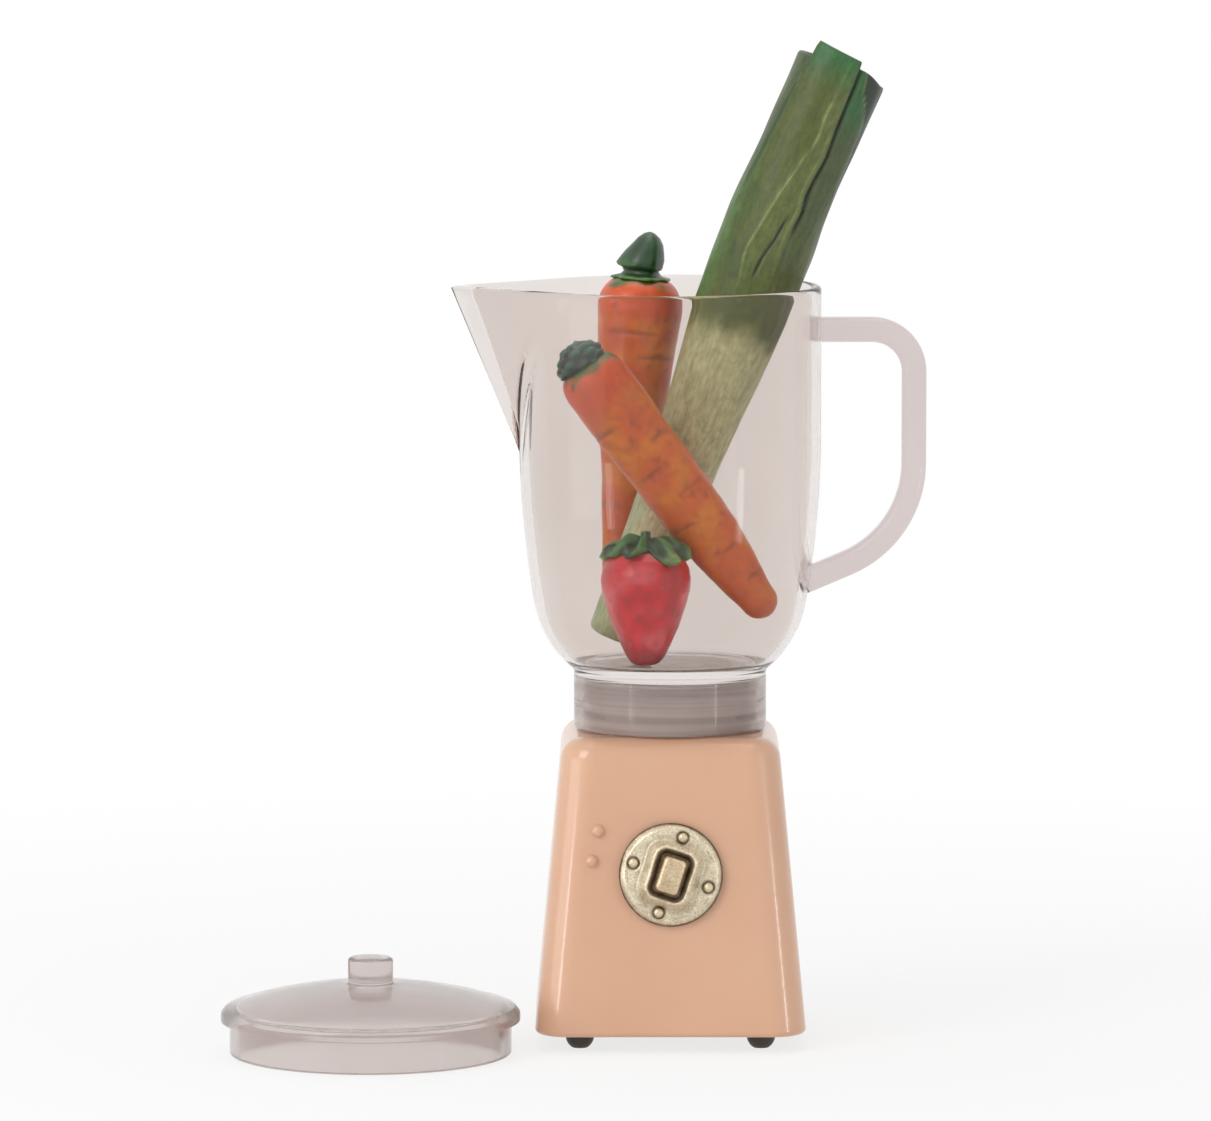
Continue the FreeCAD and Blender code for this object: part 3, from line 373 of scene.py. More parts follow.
def filleted(corners, steps=5):
    """Profile with rounded corners. A corner is a radius, a height and a fillet."""
    path = []
    for index, (reach, height, fillet) in enumerate(corners):
        if fillet == 0:
            path.append((reach, height))
            continue
        here = Vector((reach, height))
        back = Vector(corners[index - 1][:2]) - here
        ahead = Vector(corners[index + 1][:2]) - here
        half = back.angle(ahead) / 2
        cut = min(fillet / math.tan(half), back.length * 0.49, ahead.length * 0.49)
        start = here + back.normalized() * cut
        end = here + ahead.normalized() * cut
        for share in spaced(0.0, 1.0, steps):
            point = start * (1 - share) ** 2 + here * 2 * share * (1 - share) + end * share ** 2
            path.append(tuple(point))
    return path


# Jug

JUG_TOP = 79.0
JUG_FOOT = 32.62
FLOOR_LOW = 38.0
FLOOR_HIGH = 39.7
BOWL_LOW = 38.75
BOWL_HIGH = 45.5
BOWL_REACH = 14.2
SIDE_HIGH = 61.5
SIDE_REACH = 15.8
SPOUT_FOOT = 61.7
SKIRT_OUTER = 10.1
SKIRT_INNER = 9.1
SKIRT_PLAIN = 34.0
RIM_ROUND = 0.4
THREAD_START = 34.3
THREAD_PITCH = 1.6
THREAD_TURNS = 1.5
THREAD_RIDGE = 0.45
# Spout at its foot and at the rim: reach of its tip, half width of its nose, reach of its back
# and half width of its back
OUTER_WEDGE = ((15.8, 0.175, 14.8, 0.35), (23.0, 0.35, 10.85, 11.49))
INNER_WEDGE = ((14.8, 0.175, 13.8, 0.35), (20.7, 0.9, 10.58, 10.35))


def jug_reach(height, inside=False):
    """Radius of the jug's round wall at a height."""
    wall = 1.0 if inside else 0.0
    if height >= SIDE_HIGH:
        return SIDE_REACH - wall
    if height >= BOWL_HIGH:
        return arc_reach(height, (BOWL_REACH - wall, BOWL_HIGH), (SIDE_REACH - wall, SIDE_HIGH),
                         108.0 - wall)
    if inside:
        return arc_reach(height, (SKIRT_OUTER, FLOOR_HIGH), (BOWL_REACH - wall, BOWL_HIGH), 10.2)
    if height >= BOWL_LOW:
        return arc_reach(height, (SKIRT_OUTER, BOWL_LOW), (BOWL_REACH, BOWL_HIGH), 11.2)
    return SKIRT_OUTER


def wedge_reach(angle, tip, nose, back, half):
    """Distance from the axis to the border of a blunt wedge, along a ray at an angle from -X."""
    along, across = cos(angle), abs(sin(angle))
    if along <= 0:
        return 0.0
    if tip * across / along <= nose:
        return tip / along
    run = (back - tip) / (half - nose)
    reach = (tip - nose * run) / (along - run * across)
    return reach if reach * across <= half else 0.0


def wall_reach(angle, height, inside=False):
    """Radius of the wall with its spout, along a ray at an angle from +X."""
    reach = jug_reach(height, inside)
    share = (height - SPOUT_FOOT) / (JUG_TOP - SPOUT_FOOT)
    if share <= 0:
        return reach
    spout = wedge_reach(angle - math.pi, *mixed(*(INNER_WEDGE if inside else OUTER_WEDGE), share))
    blend = 0.4 + 1.1 * share
    gap = abs(reach - spout)
    extra = (blend - gap) ** 2 / (4 * blend) if gap < blend else 0.0
    return max(reach, spout) + extra * (1 - step(share, 0.9, 1.0) * 0.6)


def thread_rise(angle, height):
    """How far the skirt's helical ridge stands out of its wall at a place."""
    turn = (angle % FULL_TURN) / FULL_TURN
    rise = 0.0
    while turn <= THREAD_TURNS:
        off = abs(height - THREAD_START - THREAD_PITCH * turn)
        taper = min(turn, THREAD_TURNS - turn) / 0.08
        rise = max(rise, clamped((0.3 - off) / 0.15) * min(taper, 1.0))
        turn += 1
    return rise * THREAD_RIDGE


def jug_stride(degrees):
    """Stride between the jug's columns, short at the spout's nose. The 0.01 absorbs rounding."""
    off = min(abs(degrees), abs(degrees + 0.01))
    return 0.3 if off <= 1.5 else 0.9 if off <= 6 else 1.8 if off <= 56 else 2.5


def jug_piece():
    columns = [math.radians(angle + 180.0) for angle in stepped(-180.0, 180.0 - 1e-6, jug_stride)]

    def wall(heights, inside=False):
        return [[spot(ORIGIN, wall_reach(turn, height, inside), turn, height) for turn in columns]
                for height in heights]

    rings = [circle(ORIGIN, reach, FLOOR_LOW, columns) for reach in (0.0, 3.0, 6.0, 8.6)]
    for height in spaced(FLOOR_LOW - 0.05, JUG_FOOT + 0.15, 54):
        rings.append([spot(ORIGIN, SKIRT_INNER - thread_rise(turn, height), turn, height)
                      for turn in columns])
    for reach, rise in ((9.16, 0.04), (9.3, 0.0), (9.85, 0.0), (10.03, 0.06), (10.1, 0.25)):
        rings.append(circle(ORIGIN, reach, JUG_FOOT + rise, columns))
    rings += wall(
        spaced(SKIRT_PLAIN, BOWL_LOW, 6) + spaced(BOWL_LOW, BOWL_HIGH, 22)[1:]
        + spaced(BOWL_HIGH, SIDE_HIGH, 14)[1:] + spaced(SIDE_HIGH, JUG_TOP - RIM_ROUND, 26)[1:])
    for turn in spaced(0.0, math.pi, 8)[1:-1]:
        height = JUG_TOP - RIM_ROUND + RIM_ROUND * sin(turn)
        ring = []
        for angle in columns:
            outer, inner = wall_reach(angle, JUG_TOP), wall_reach(angle, JUG_TOP, True)
            reach = (outer + inner) / 2 + (outer - inner) / 2 * cos(turn)
            ring.append(spot(ORIGIN, reach, angle, height))
        rings.append(ring)
    rings += wall(
        spaced(JUG_TOP - RIM_ROUND, SIDE_HIGH, 26) + spaced(SIDE_HIGH, BOWL_HIGH, 14)[1:]
        + spaced(BOWL_HIGH, FLOOR_HIGH + 0.2, 18)[1:], True)
    rings += [circle(ORIGIN, reach, FLOOR_HIGH, columns) for reach in (9.9, 8.0, 5.0, 0.0)]
    make_piece("jug_clear", rings, CLEAR, "jug", ["jug"])


# Handle

BAR_HALF_THICK = 1.3
BAR_HALF_BROAD = 1.5
BAR_EDGE = 0.9
HANDLE_START = 15.4
HANDLE_RUN_OUT = 4.2
WALL_GAP = 0.04
# Bends of the handle's middle line: centre as x and z, radius, and end angles in degrees
UPPER_BEND = (21.1, 70.0, 4.4, 90.0, 0.0)
LOWER_BEND = (14.0, 60.4, 11.5, 0.0, -67.0)


def bar_section():
    """Rounded rectangle: in the handle's plane and across it."""
    points = []
    for quarter in range(4):
        inward = (BAR_HALF_THICK - BAR_EDGE) * (1 if quarter in (0, 3) else -1)
        across = (BAR_HALF_BROAD - BAR_EDGE) * (1 if quarter in (0, 1) else -1)
        for count in range(7):
            turn = math.radians(90 * quarter + 15 * count)
            points.append((inward + BAR_EDGE * cos(turn), across + BAR_EDGE * sin(turn)))
    return points


def bend(x, z, radius, start, end, count):
    """Points and directions along a bend of the middle line, without its first point."""
    turns = [math.radians(angle) for angle in spaced(start, end, count)[1:]]
    return [((x + radius * cos(turn), z + radius * sin(turn)), (sin(turn), -cos(turn)))
            for turn in turns]


def handle_path():
    """Points and directions along the bar's middle line, in the plane of the handle."""
    x, high, radius = UPPER_BEND[:3]
    low = LOWER_BEND[1]
    path = [((place, high + radius), (1.0, 0.0)) for place in spaced(HANDLE_START, x, 8)]
    path += bend(*UPPER_BEND, 14)
    path += [((x + radius, z), (0.0, -1.0)) for z in spaced(high, low, 8)[1:]]
    path += bend(*LOWER_BEND, 16)
    (x, z), way = path[-1]
    return path + [((x + way[0] * run, z + way[1] * run), way)
                   for run in spaced(0.0, HANDLE_RUN_OUT, 6)[1:]]


def end_rings(ring, way):
    """End ring moved along the bar on to the jug's wall, and the pole that closes it."""
    moved = []
    for x, y, z in ring:
        for _ in range(12):
            short = math.sqrt((jug_reach(z) + WALL_GAP) ** 2 - y ** 2) - x
            run = math.copysign(short, short * way[0])
            x, z = x + run * way[0], z + run * way[1]
        moved.append((x, y, z))
    height = sum(point[2] for point in moved) / len(moved)
    return moved, [(jug_reach(height) + WALL_GAP, 0.0, height)]


def handle_piece():
    section, path = bar_section(), handle_path()
    rings = [[(x + way_z * inward, across, z - way_x * inward) for inward, across in section]
             for (x, z), (way_x, way_z) in path]
    first, first_pole = end_rings(rings[0], path[0][1])
    last, last_pole = end_rings(rings[-1], path[-1][1])
    rings = [first_pole, first, *rings[1:-1], last, last_pole]
    make_piece("handle_clear", rings, HANDLE_CLEAR, "jug", ["jug_handle"])


# Lid

LID_CENTRE = (-31.2, -12.6, 0.0)
DOME_DROP = 2.35
DOME_OUTER = (7.25, 14.8)
DOME_INNER = (6.25, 13.65)


def dome(reaches, apex, edge):
    """Corners along a shallow dome of a given apex height and edge radius."""
    curve = (edge ** 2 + DOME_DROP ** 2) / (2 * DOME_DROP)
    return [(reach, apex - curve + math.sqrt(curve ** 2 - reach ** 2), 0) for reach in reaches]


def lid_piece():
    corners = [(0.0, 10.0, 0), (2.35, 10.0, 0.5), (2.35, 7.25, 0.35),
               *dome(spaced(3.0, 14.6, 16), *DOME_OUTER),
               (15.05, 4.85, 0.3), (15.58, 4.25, 0.5), (15.58, 3.4, 0.12), (14.65, 3.4, 0.1),
               (14.65, 0.0, 0.2), (13.65, 0.0, 0.2), (13.65, 3.9, 0.3),
               *dome(spaced(13.2, 1.0, 14), *DOME_INNER), (0.0, 6.25, 0)]
    columns = round_columns(160)
    rings = [circle(LID_CENTRE, reach, height, columns) for reach, height in filleted(corners)]
    make_piece("lid_clear", rings, LID_CLEAR, "lid", ["lid"])


# Toy food


class Axis:
    """Local frame of a long piece: along it, to the right and to the front."""

    def __init__(self, foot, head):
        self.foot = Vector(foot)
        self.along = (Vector(head) - self.foot).normalized()
        self.length = (Vector(head) - self.foot).length
        self.right = Vector((0, -1, 0)).cross(self.along).normalized() * -1
        self.front = self.right.cross(self.along).normalized()

    def point(self, angle, reach, run, shift=0.0):
        """Point at an angle from the front towards the right."""
        side = self.right * (sin(angle) * reach + shift)
        return tuple(self.foot + self.along * run + (self.front * cos(angle) * reach + side))


def uneven(point, scale, seed=0.0):
    return noise.noise(Vector(point) * scale + Vector((seed, seed * 1.7, -seed)))


LEEK_LENGTH = 66.0
LEEK_SIDE = LEEK_LENGTH - 0.35
LEEK_FOOT = Vector((-5.4, 3.0, 41.5))
LEEK_LEAN = math.radians(20.3)
BACK_TOP = 64.7
# Lines on the leek's leaves: distance along it and angle in degrees from its front
LIGHT_LINE = ((38, -17), (40, -17), (43.5, -23), (45.8, -18), (48, -14.5), (50, -10.4),
              (53, -3.4), (54.5, -1.1), (56, 4), (57.5, 4.6), (59, 2.3), (61.5, 3.4), (66, 5))
LONG_SLIT = ((46.3, 21.7), (48, 23), (49.3, 24.2), (51, 20.5), (53, 21.7), (55.4, 24.8),
             (59, 21), (63.6, 19.3), (66.5, 18))
SHORT_SLIT = ((40.8, -3), (43.2, -1), (45.4, 5.7), (48, 9.2), (50, 12))
LEFT_BORDER = ((44, -78), (50, -67), (58, -58), (60.3, -57), (66, -41))
RIGHT_BORDER = ((44, 86), (50, 76), (53, 66), (56.7, 66), (59.5, 62), (61.2, 53), (63, 36),
                (66, 27))
# Cut top of the leek from its border inwards: share of the radius, depth and darkness, a painted
# shade in the grooves
LEEK_CUT = ((0.985, 0.08, 0.0), (0.95, 0.0, 0.0), (0.88, 0.1, 0.3), (0.85, 0.8, 0.8),
            (0.83, 2.2, 1.0), (0.75, 2.2, 1.0), (0.72, 0.7, 0.4), (0.63, 0.7, 0.4),
            (0.6, 2.4, 1.0), (0.46, 2.4, 1.0), (0.42, 0.9, 0.3), (0.28, 0.9, 0.3),
            (0.22, 1.8, 0.9))


def leek_lines(run):
    """Angles of the five lines at a distance along the leek."""
    return [table(run, line)
            for line in (LIGHT_LINE, LONG_SLIT, SHORT_SLIT, LEFT_BORDER, RIGHT_BORDER)]


def leek_seam(degrees, run):
    """Angle past the seam at the leek's left."""
    return degrees + 47 + (LEEK_LENGTH - run) * 0.7


def short_extent(run):
    """1 where the short slit is open, and 0 beyond its ends."""
    return step(run, 40.5, 42) * fall(run, 47, 48.5)


def leek_reach(degrees, run):
    """Radius of the leek with its overlapping leaves."""
    light, slit, short, left, border = leek_lines(run)
    right = fall(degrees, 130, 175)
    reach = table(run, ((0, 3.5), (20, 3.7), (37, 5.15), (LEEK_LENGTH, 5.35)))
    reach -= 0.35 * fall(degrees, left - 4, left) * step(run, 46, 56) * step(degrees, -175, -120)
    reach -= 0.22 * step(degrees, slit - 1, slit + 3) * step(run, 44, 49) * right
    reach -= 0.12 * step(degrees, border, border + 3) * step(run, 46, 54) * right
    reach -= 0.45 * bell(degrees - slit - 1, 1.8) * step(run, 46, 48)
    reach -= 0.3 * bell(degrees - short, 1.6) * short_extent(run)
    reach += 0.1 * bell(degrees - light, 3.5) * step(run, 38, 42)
    reach -= 0.12 * bell(leek_seam(degrees, run), 2.0) * step(run, 50, 56)
    return reach - 0.12


def leek_top(degrees):
    """How far the cut top reaches along the leek."""
    left, right = step(degrees, -47, -41), step(degrees, 17, 21)
    front = 66.5 - (degrees + 41) / 60 * 0.6
    top = BACK_TOP + (front - BACK_TOP) * left * (1 - right)
    return top + right * (0.4 - 1.1 * step(degrees, 21, 80)) * fall(degrees, 130, 175)


def leek_tone(degrees, run, point):
    """Painted colour of the leek."""
    cloud, fine = uneven(point, 0.22, 3.0), uneven(point, 0.8, 9.0)
    light, slit, short, left, border = leek_lines(run)
    vivid = step(-degrees, 38, 62) * step(run, 34, 40) * fall(run, 50, 56)
    strip = step(degrees, light - 1, light + 1) * fall(degrees, slit - 3, slit - 1)
    beside = bell(degrees - slit + 7, 1.3) * step(run, 42, 45) * fall(run, 56, 60)
    back = fall(degrees, left - 3, left) * step(degrees, -150, -110)
    front = step(degrees, left, left + 4) * fall(degrees, slit - 2, slit)
    flap = step(degrees, slit, slit + 3) * fall(degrees, border - 1, border + 2)
    shade = step(degrees, border, border + 4) * fall(degrees, 140, 175)
    return layered(
        (150, 150, 104),
        ((192, 188, 150), step(run, 0, 5)),
        ((170, 190, 150), step(-degrees + 20 * cloud, 20, 60) * 0.7),
        ((180, 182, 136), step(run + 4 * cloud, 16, 26)),
        ((75, 85, 24), step(run + 3 * cloud + 3 * fine, 32, 37)),
        ((64, 80, 20), step(cloud, -0.1, 0.5) * step(run, 34, 40)),
        ((72, 108, 36), vivid * (0.5 + 0.5 * step(fine, -0.2, 0.3))),
        ((96, 108, 54), strip * step(run, 36, 44) * 0.8),
        ((150, 162, 108), bell(degrees - light, 1.5) * step(run, 38, 42) * (0.65 + 0.5 * fine)),
        ((140, 152, 100), beside * 0.6),
        ((34, 62, 24), bell(degrees - left - 4, 3.0) * step(run, 46, 52) * 0.8),
        ((62, 78, 34), back * step(run, 48, 54)),
        ((50, 74, 32), bell(leek_seam(degrees, run), 2.6) * step(run, 48, 56) * 0.8),
        ((36, 96, 46), step(run + 2 * cloud, 61.5, 65) * front * 0.9),
        ((64, 78, 34), flap * step(run, 44, 50)),
        ((32, 92, 34), flap * step(run + 2 * fine, 56, 62) * 0.9),
        ((108, 134, 90), bell(degrees - border, 2.0) * step(run, 46, 52) * 0.7),
        ((22, 34, 14), shade * step(run, 44, 52)),
        # Painted shade: near-black lines along the long and short slits, where one leaf edge lies
        # over the next.
        ((16, 22, 8), bell(degrees - slit - 1, 2.0) * step(run, 45.5, 48)),
        ((30, 38, 14), bell(degrees - short, 1.8) * short_extent(run)),
        ((40, 50, 24), max(0.0, -fine) * 0.25))


def leek_piece():
    way = Vector((sin(LEEK_LEAN), 0, cos(LEEK_LEAN)))
    axis = Axis(LEEK_FOOT, LEEK_FOOT + way * LEEK_LENGTH)
    degrees = stepped(-180.0, 180.0, lambda angle: 1.5 if -82 <= angle < 94 else 5.0)
    rings, tones, grain = [], [], []

    def add_ring(places):
        """Add a ring of places: angle, radius, run along the leek and darkening, the painted shade
        of the cut top's grooves.
        """
        ring = []
        for angle, reach, run, dark in places:
            turn = math.radians(angle)
            point = axis.point(turn, reach, run, 1.15 * step(run, 37, 66) * (run - 37) / 29)
            ring.append(point)
            # Painted shade: dark green mixed into the grooves of the cut top.
            tones.append(mixed(leek_tone(angle, run, point), srgb(52, 74, 34), dark))
            grain.append((turn * 4.0, run * 0.22, 0.0))
        rings.append(ring)

    add_ring([(0.0, 0.0, 0.35, 0.0)])
    for share, run in ((0.5, 0.15), (0.8, 0.0), (0.93, 0.2)):
        add_ring([(angle, leek_reach(angle, 0) * share, run, 0.0) for angle in degrees])
    for run in spaced(0.6, 40.0, 34) + spaced(40.0, LEEK_SIDE, 44)[1:]:
        rise = (run / LEEK_SIDE) ** 6
        add_ring([(angle, leek_reach(angle, run) + 0.08 * uneven((angle * 0.06, run * 0.2, 0), 1.0),
                   run + (leek_top(angle) - LEEK_LENGTH) * rise, 0.0) for angle in degrees])
    for share, drop, dark in LEEK_CUT:
        add_ring([(angle, leek_reach(angle, LEEK_LENGTH) * share, leek_top(angle) - drop, dark)
                  for angle in degrees])
    add_ring([(0.0, 0.0, 63.2, 1.0)])
    make_piece("leek_leaves", rings, LEEK, "leek", ["leek"], tones, grain)


# A crease is its distance from the tip, its middle and half width in degrees, and its depth
CARROTS = {
    "rear": {"tip": (-5.7, 8.3, 42.6), "head": (-2.95, 9.0, 79.2), "radius": 4.6,
             "tip_radius": 1.5, "belly": (20.0, 3.3), "top": 2.45,
             "creases": ((31.0, -10, 50, 0.16), (28.4, 35, 40, 0.14), (24.5, -30, 45, 0.16),
                         (21.0, 60, 50, 0.12), (17.2, 0, 50, 0.15), (12.5, -40, 40, 0.12),
                         (8.0, 20, 60, 0.1), (26.0, 150, 60, 0.15), (19.0, 200, 60, 0.15))},
    "front": {"tip": (10.3, -4.7, 44.9), "head": (-9.0, -5.2, 71.0), "radius": 3.7,
              "tip_radius": 2.0, "belly": (10.0, 3.25), "top": 2.9,
              "creases": ((25.6, -55, 45, 0.2), (22.2, 40, 30, 0.16), (19.5, -20, 40, 0.14),
                          (16.0, 30, 40, 0.12), (12.8, -35, 35, 0.15), (8.6, 10, 40, 0.12),
                          (4.6, 40, 40, 0.14), (21.0, 170, 60, 0.15), (11.0, 200, 60, 0.15))},
}


def carrot_axis(which):
    return Axis(CARROTS[which]["tip"], CARROTS[which]["head"])


def carrot_reach(spec, run, length):
    """Radius of a carrot's root along it."""
    tip, shoulder = spec["tip_radius"], length - spec["radius"] * 0.75
    if run < tip:
        return math.sqrt(max(tip ** 2 - (tip - run) ** 2, 0.0))
    if run > shoulder:
        end = spec["top"] * 0.8
        share = min((run - shoulder) / (length - shoulder), 1.0)
        return end + (spec["radius"] - end) * math.sqrt(1 - share ** 2)
    return table(run, ((tip, tip), spec["belly"], (shoulder, spec["radius"])))


def crease_depth(spec, degrees, run):
    depth = 0.0
    for place, middle, spread, deepest in spec["creases"]:
        off = abs((degrees - middle + 180) % 360 - 180)
        sway = 0.35 * uneven((degrees * 0.03, place, 0), 1.0)
        depth += deepest * bell(run - place - sway, 0.22) * fall(off, spread * 0.5, spread)
    return depth


def carrot_piece(which):
    spec, axis = CARROTS[which], carrot_axis(which)
    length = axis.length
    rings, tones, grain = [[spec["tip"]]], [srgb(150, 74, 34)], [(0.0, 0.0, 0.0)]
    runs = [0.06, 0.25, 0.6, 1.0, *spaced(1.5, length - 0.35, int(length * 3))]
    for run in runs + [length - 0.15, length - 0.02]:
        ring = []
        for turn in round_columns(96):
            reach = carrot_reach(spec, run, length)
            crease = crease_depth(spec, math.degrees(turn), run)
            point = axis.point(turn, reach, run)
            lump = 0.14 * uneven(point, 0.25, 5.0) + 0.05 * uneven(point, 0.9, 2.0)
            fade = step(run, 0, 2) * (1 - step(run, length - 1.5, length) * 0.7)
            point = axis.point(turn, max(reach - 0.08 + (lump - crease) * fade, 0.05), run)
            ring.append(point)
            cloud, fine = uneven(point, 0.3, 1.0), uneven(point, 1.1, 7.0)
            tones.append(layered(
                (226, 104, 20),
                ((230, 128, 12), step(cloud, -0.1, 0.4)),
                ((212, 90, 40), step(-cloud, 0.0, 0.5) * 0.55),
                ((232, 88, 14), step(run, length - 5.5, length - 3)),
                # Painted shade: darker in the creases, by their depth.
                ((128, 54, 18), min(crease * 3.4, 0.7)),
                ((140, 66, 24), step(fine, 0.45, 0.65) * 0.4),
                ((70, 104, 28), step(run + 1.2 * cloud + 0.8 * fine, length - 1.0, length + 0.1))))
            grain.append((turn * 3.6, run, 0.0))
        rings.append(ring)
    rings.append([spec["head"]])
    tones.append(srgb(60, 90, 30))
    grain.append((0.0, length, 0.0))
    make_piece(f"{which}_carrot_root", rings, CARROT, f"{which}_carrot",
               [f"carrot_{which}_root"], tones, grain)


# Leaf stub of the rear carrot: radius and rise above its foot
STUB_PROFILE = ((2.5, 0.0), (3.0, 0.1), (2.9, 0.3), (2.2, 0.5), (1.9, 0.8), (1.95, 1.2),
                (2.35, 1.45), (2.5, 1.75), (2.35, 2.3), (2.05, 3.0), (1.65, 3.8), (1.15, 4.5),
                (0.6, 4.95), (0.25, 5.1))
STUB_HEIGHT = 5.15


def rear_top_piece():
    """Pointed leaf stub with a brim that overhangs on the left."""
    axis = carrot_axis("rear")
    foot = axis.length - 0.3
    rings, tones = [[axis.point(0, 0, foot)]], [srgb(20, 60, 20)]
    for reach, rise in STUB_PROFILE:
        ring = []
        for turn in round_columns(64):
            left = 0.5 - 0.5 * sin(turn)
            wide = reach * (1 + 0.05 * sin(3 * turn + 1))
            if 1.0 < rise < 2.6:
                wide += 0.6 * (left - 0.55) * bell(rise - 1.6, 0.5)
            if rise < 0.5:
                wide += 0.175 * sin(7 * turn) + 0.1
            height = min(rise - 0.35 * (1 - left) * bell(rise - 1.7, 0.6), STUB_HEIGHT)
            even = axis.point(turn, wide, foot + height, 0.5 * step(rise, 2, 4.5))
            point = tuple(value + 0.06 * uneven(even, 0.9, seed)
                          for value, seed in zip(even, (1.0, 2.0, 3.0)))
            ring.append(point)
            tones.append(layered(
                (16, 72, 22),
                ((10, 44, 14), step(uneven(point, 0.7, 4.0), -0.2, 0.4)),
                # Painted highlight: paler on the brim's left side, where the light falls.
                ((84, 124, 62), bell(rise - 1.6, 0.3) * step(left, 0.4, 0.9) * 0.8),
                ((60, 104, 30), fall(rise, 0.3, 0.8)),
                # Painted shade: dark band in the waist under the brim.
                ((14, 42, 12), bell(rise - 1.0, 0.3))))
        rings.append(ring)
    rings.append([axis.point(0, 0, foot + STUB_HEIGHT, 0.5)])
    tones.append(srgb(18, 70, 24))
    make_piece("rear_carrot_leaf", rings, LEAF, "rear_carrot", ["carrot_rear_top"],
               tones, flattened(rings))


def front_top_piece():
    """Curly lump of leaves."""
    axis = carrot_axis("front")
    centre = Vector(CARROTS["front"]["head"]) + axis.along * 0.55
    rings, tones = [], []
    rows = 40
    for row in range(rows + 1):
        rise = math.pi * (row / rows - 0.5)
        ring = []
        for turn in round_columns(80 if 0 < row < rows else 1):
            side = (axis.front * cos(turn) + axis.right * sin(turn)) * cos(rise)
            up = axis.along * sin(rise)
            curl = 0.6 - 1.1 * noise.voronoi((side + up) * 1.9 + Vector((3, 1, 2)))[0][0]
            fine = noise.noise((side + up) * 7.0)
            span = side * 2.75 + up * (1.9 if rise > 0 else 1.4)
            ring.append(tuple(centre + span * (0.96 + 0.36 * curl + 0.05 * fine)))
            tones.append(layered(
                (8, 30, 20),
                # Painted shade and highlight: lighter where the lumps bulge out, darker in the
                # hollows, with pale flecks only on the bulges.
                ((22, 92, 66), step(curl, -0.2, 0.4)),
                ((96, 140, 122), step(fine, 0.15, 0.5) * 0.4 * step(curl, 0.1, 0.4))))
        rings.append(ring)
    make_piece("front_carrot_leaf", rings, LEAF, "front_carrot", ["carrot_front_top"],
               tones, flattened(rings))


BERRY_PLACE = (-2.6, -8.0, 40.15)
BERRY_TOP = 12.3
# Berry from its tip up: height and radius
BERRY_PROFILE = ((0.0, 0.9), (0.15, 1.4), (0.8, 1.95), (2.0, 2.55), (4.0, 3.4), (6.0, 4.1),
                 (7.6, 4.52), (8.8, 4.65), (10.0, 4.45), (11.0, 3.9), (11.8, 3.05), (12.2, 2.0),
                 (BERRY_TOP, 1.0))
SEED_ROW = 1.55
SEED_WIDTH = 2.3
SEED_COLUMNS = 11
CALYX_LEAVES = 7


def seed_share(turn, height):
    """How much of a seed's dimple is at a place on the berry."""
    row = height / SEED_ROW
    column = turn / FULL_TURN * SEED_COLUMNS + 0.5 * (int(row) % 2)
    off = math.hypot((row % 1 - 0.5) * SEED_ROW, (column % 1 - 0.5) * SEED_WIDTH)
    return bell(off, 0.3) * step(height, 1.2, 2.4) * fall(height, 9.6, 10.6)


def berry_piece():
    rings, tones, grain = [], [], []
    for height in [0.0] + spaced(0.03, 12.27, 74) + [BERRY_TOP]:
        ring = []
        pole = height in (0.0, BERRY_TOP)
        for turn in round_columns(1 if pole else 96):
            wave = 0.025 * sin(3 * turn + 0.6) + 0.015 * sin(5 * turn)
            reach = 0.0 if pole else table(height, BERRY_PROFILE) * (1 + wave)
            seed = seed_share(turn, height)
            point = spot(BERRY_PLACE, reach - 0.1 * seed, turn, height)
            soft = uneven(point, 0.35, 2.0)
            ring.append(tuple(value + 0.05 * soft for value in point))
            tones.append(layered(
                (212, 22, 38),
                ((186, 4, 20), step(soft, -0.1, 0.3)),
                ((218, 92, 98), step(-soft, 0.0, 0.4) * 0.8),
                ((150, 20, 34), fall(height, 0.2, 2.2)),
                ((214, 120, 96), step(height, 10.6, 12.2) * 0.6),
                ((150, 26, 38), seed * 0.35)))
            grain.append((turn * 4.0, height * 0.5, 0.0))
        rings.append(ring)
    make_piece("berry_body", rings, BERRY, "jug", ["strawberry_berry"], tones, grain)


def calyx_lobe(turn):
    """1 at the middle of a leaf and 0 between two."""
    return abs(cos(turn * CALYX_LEAVES / 2 + 0.4))


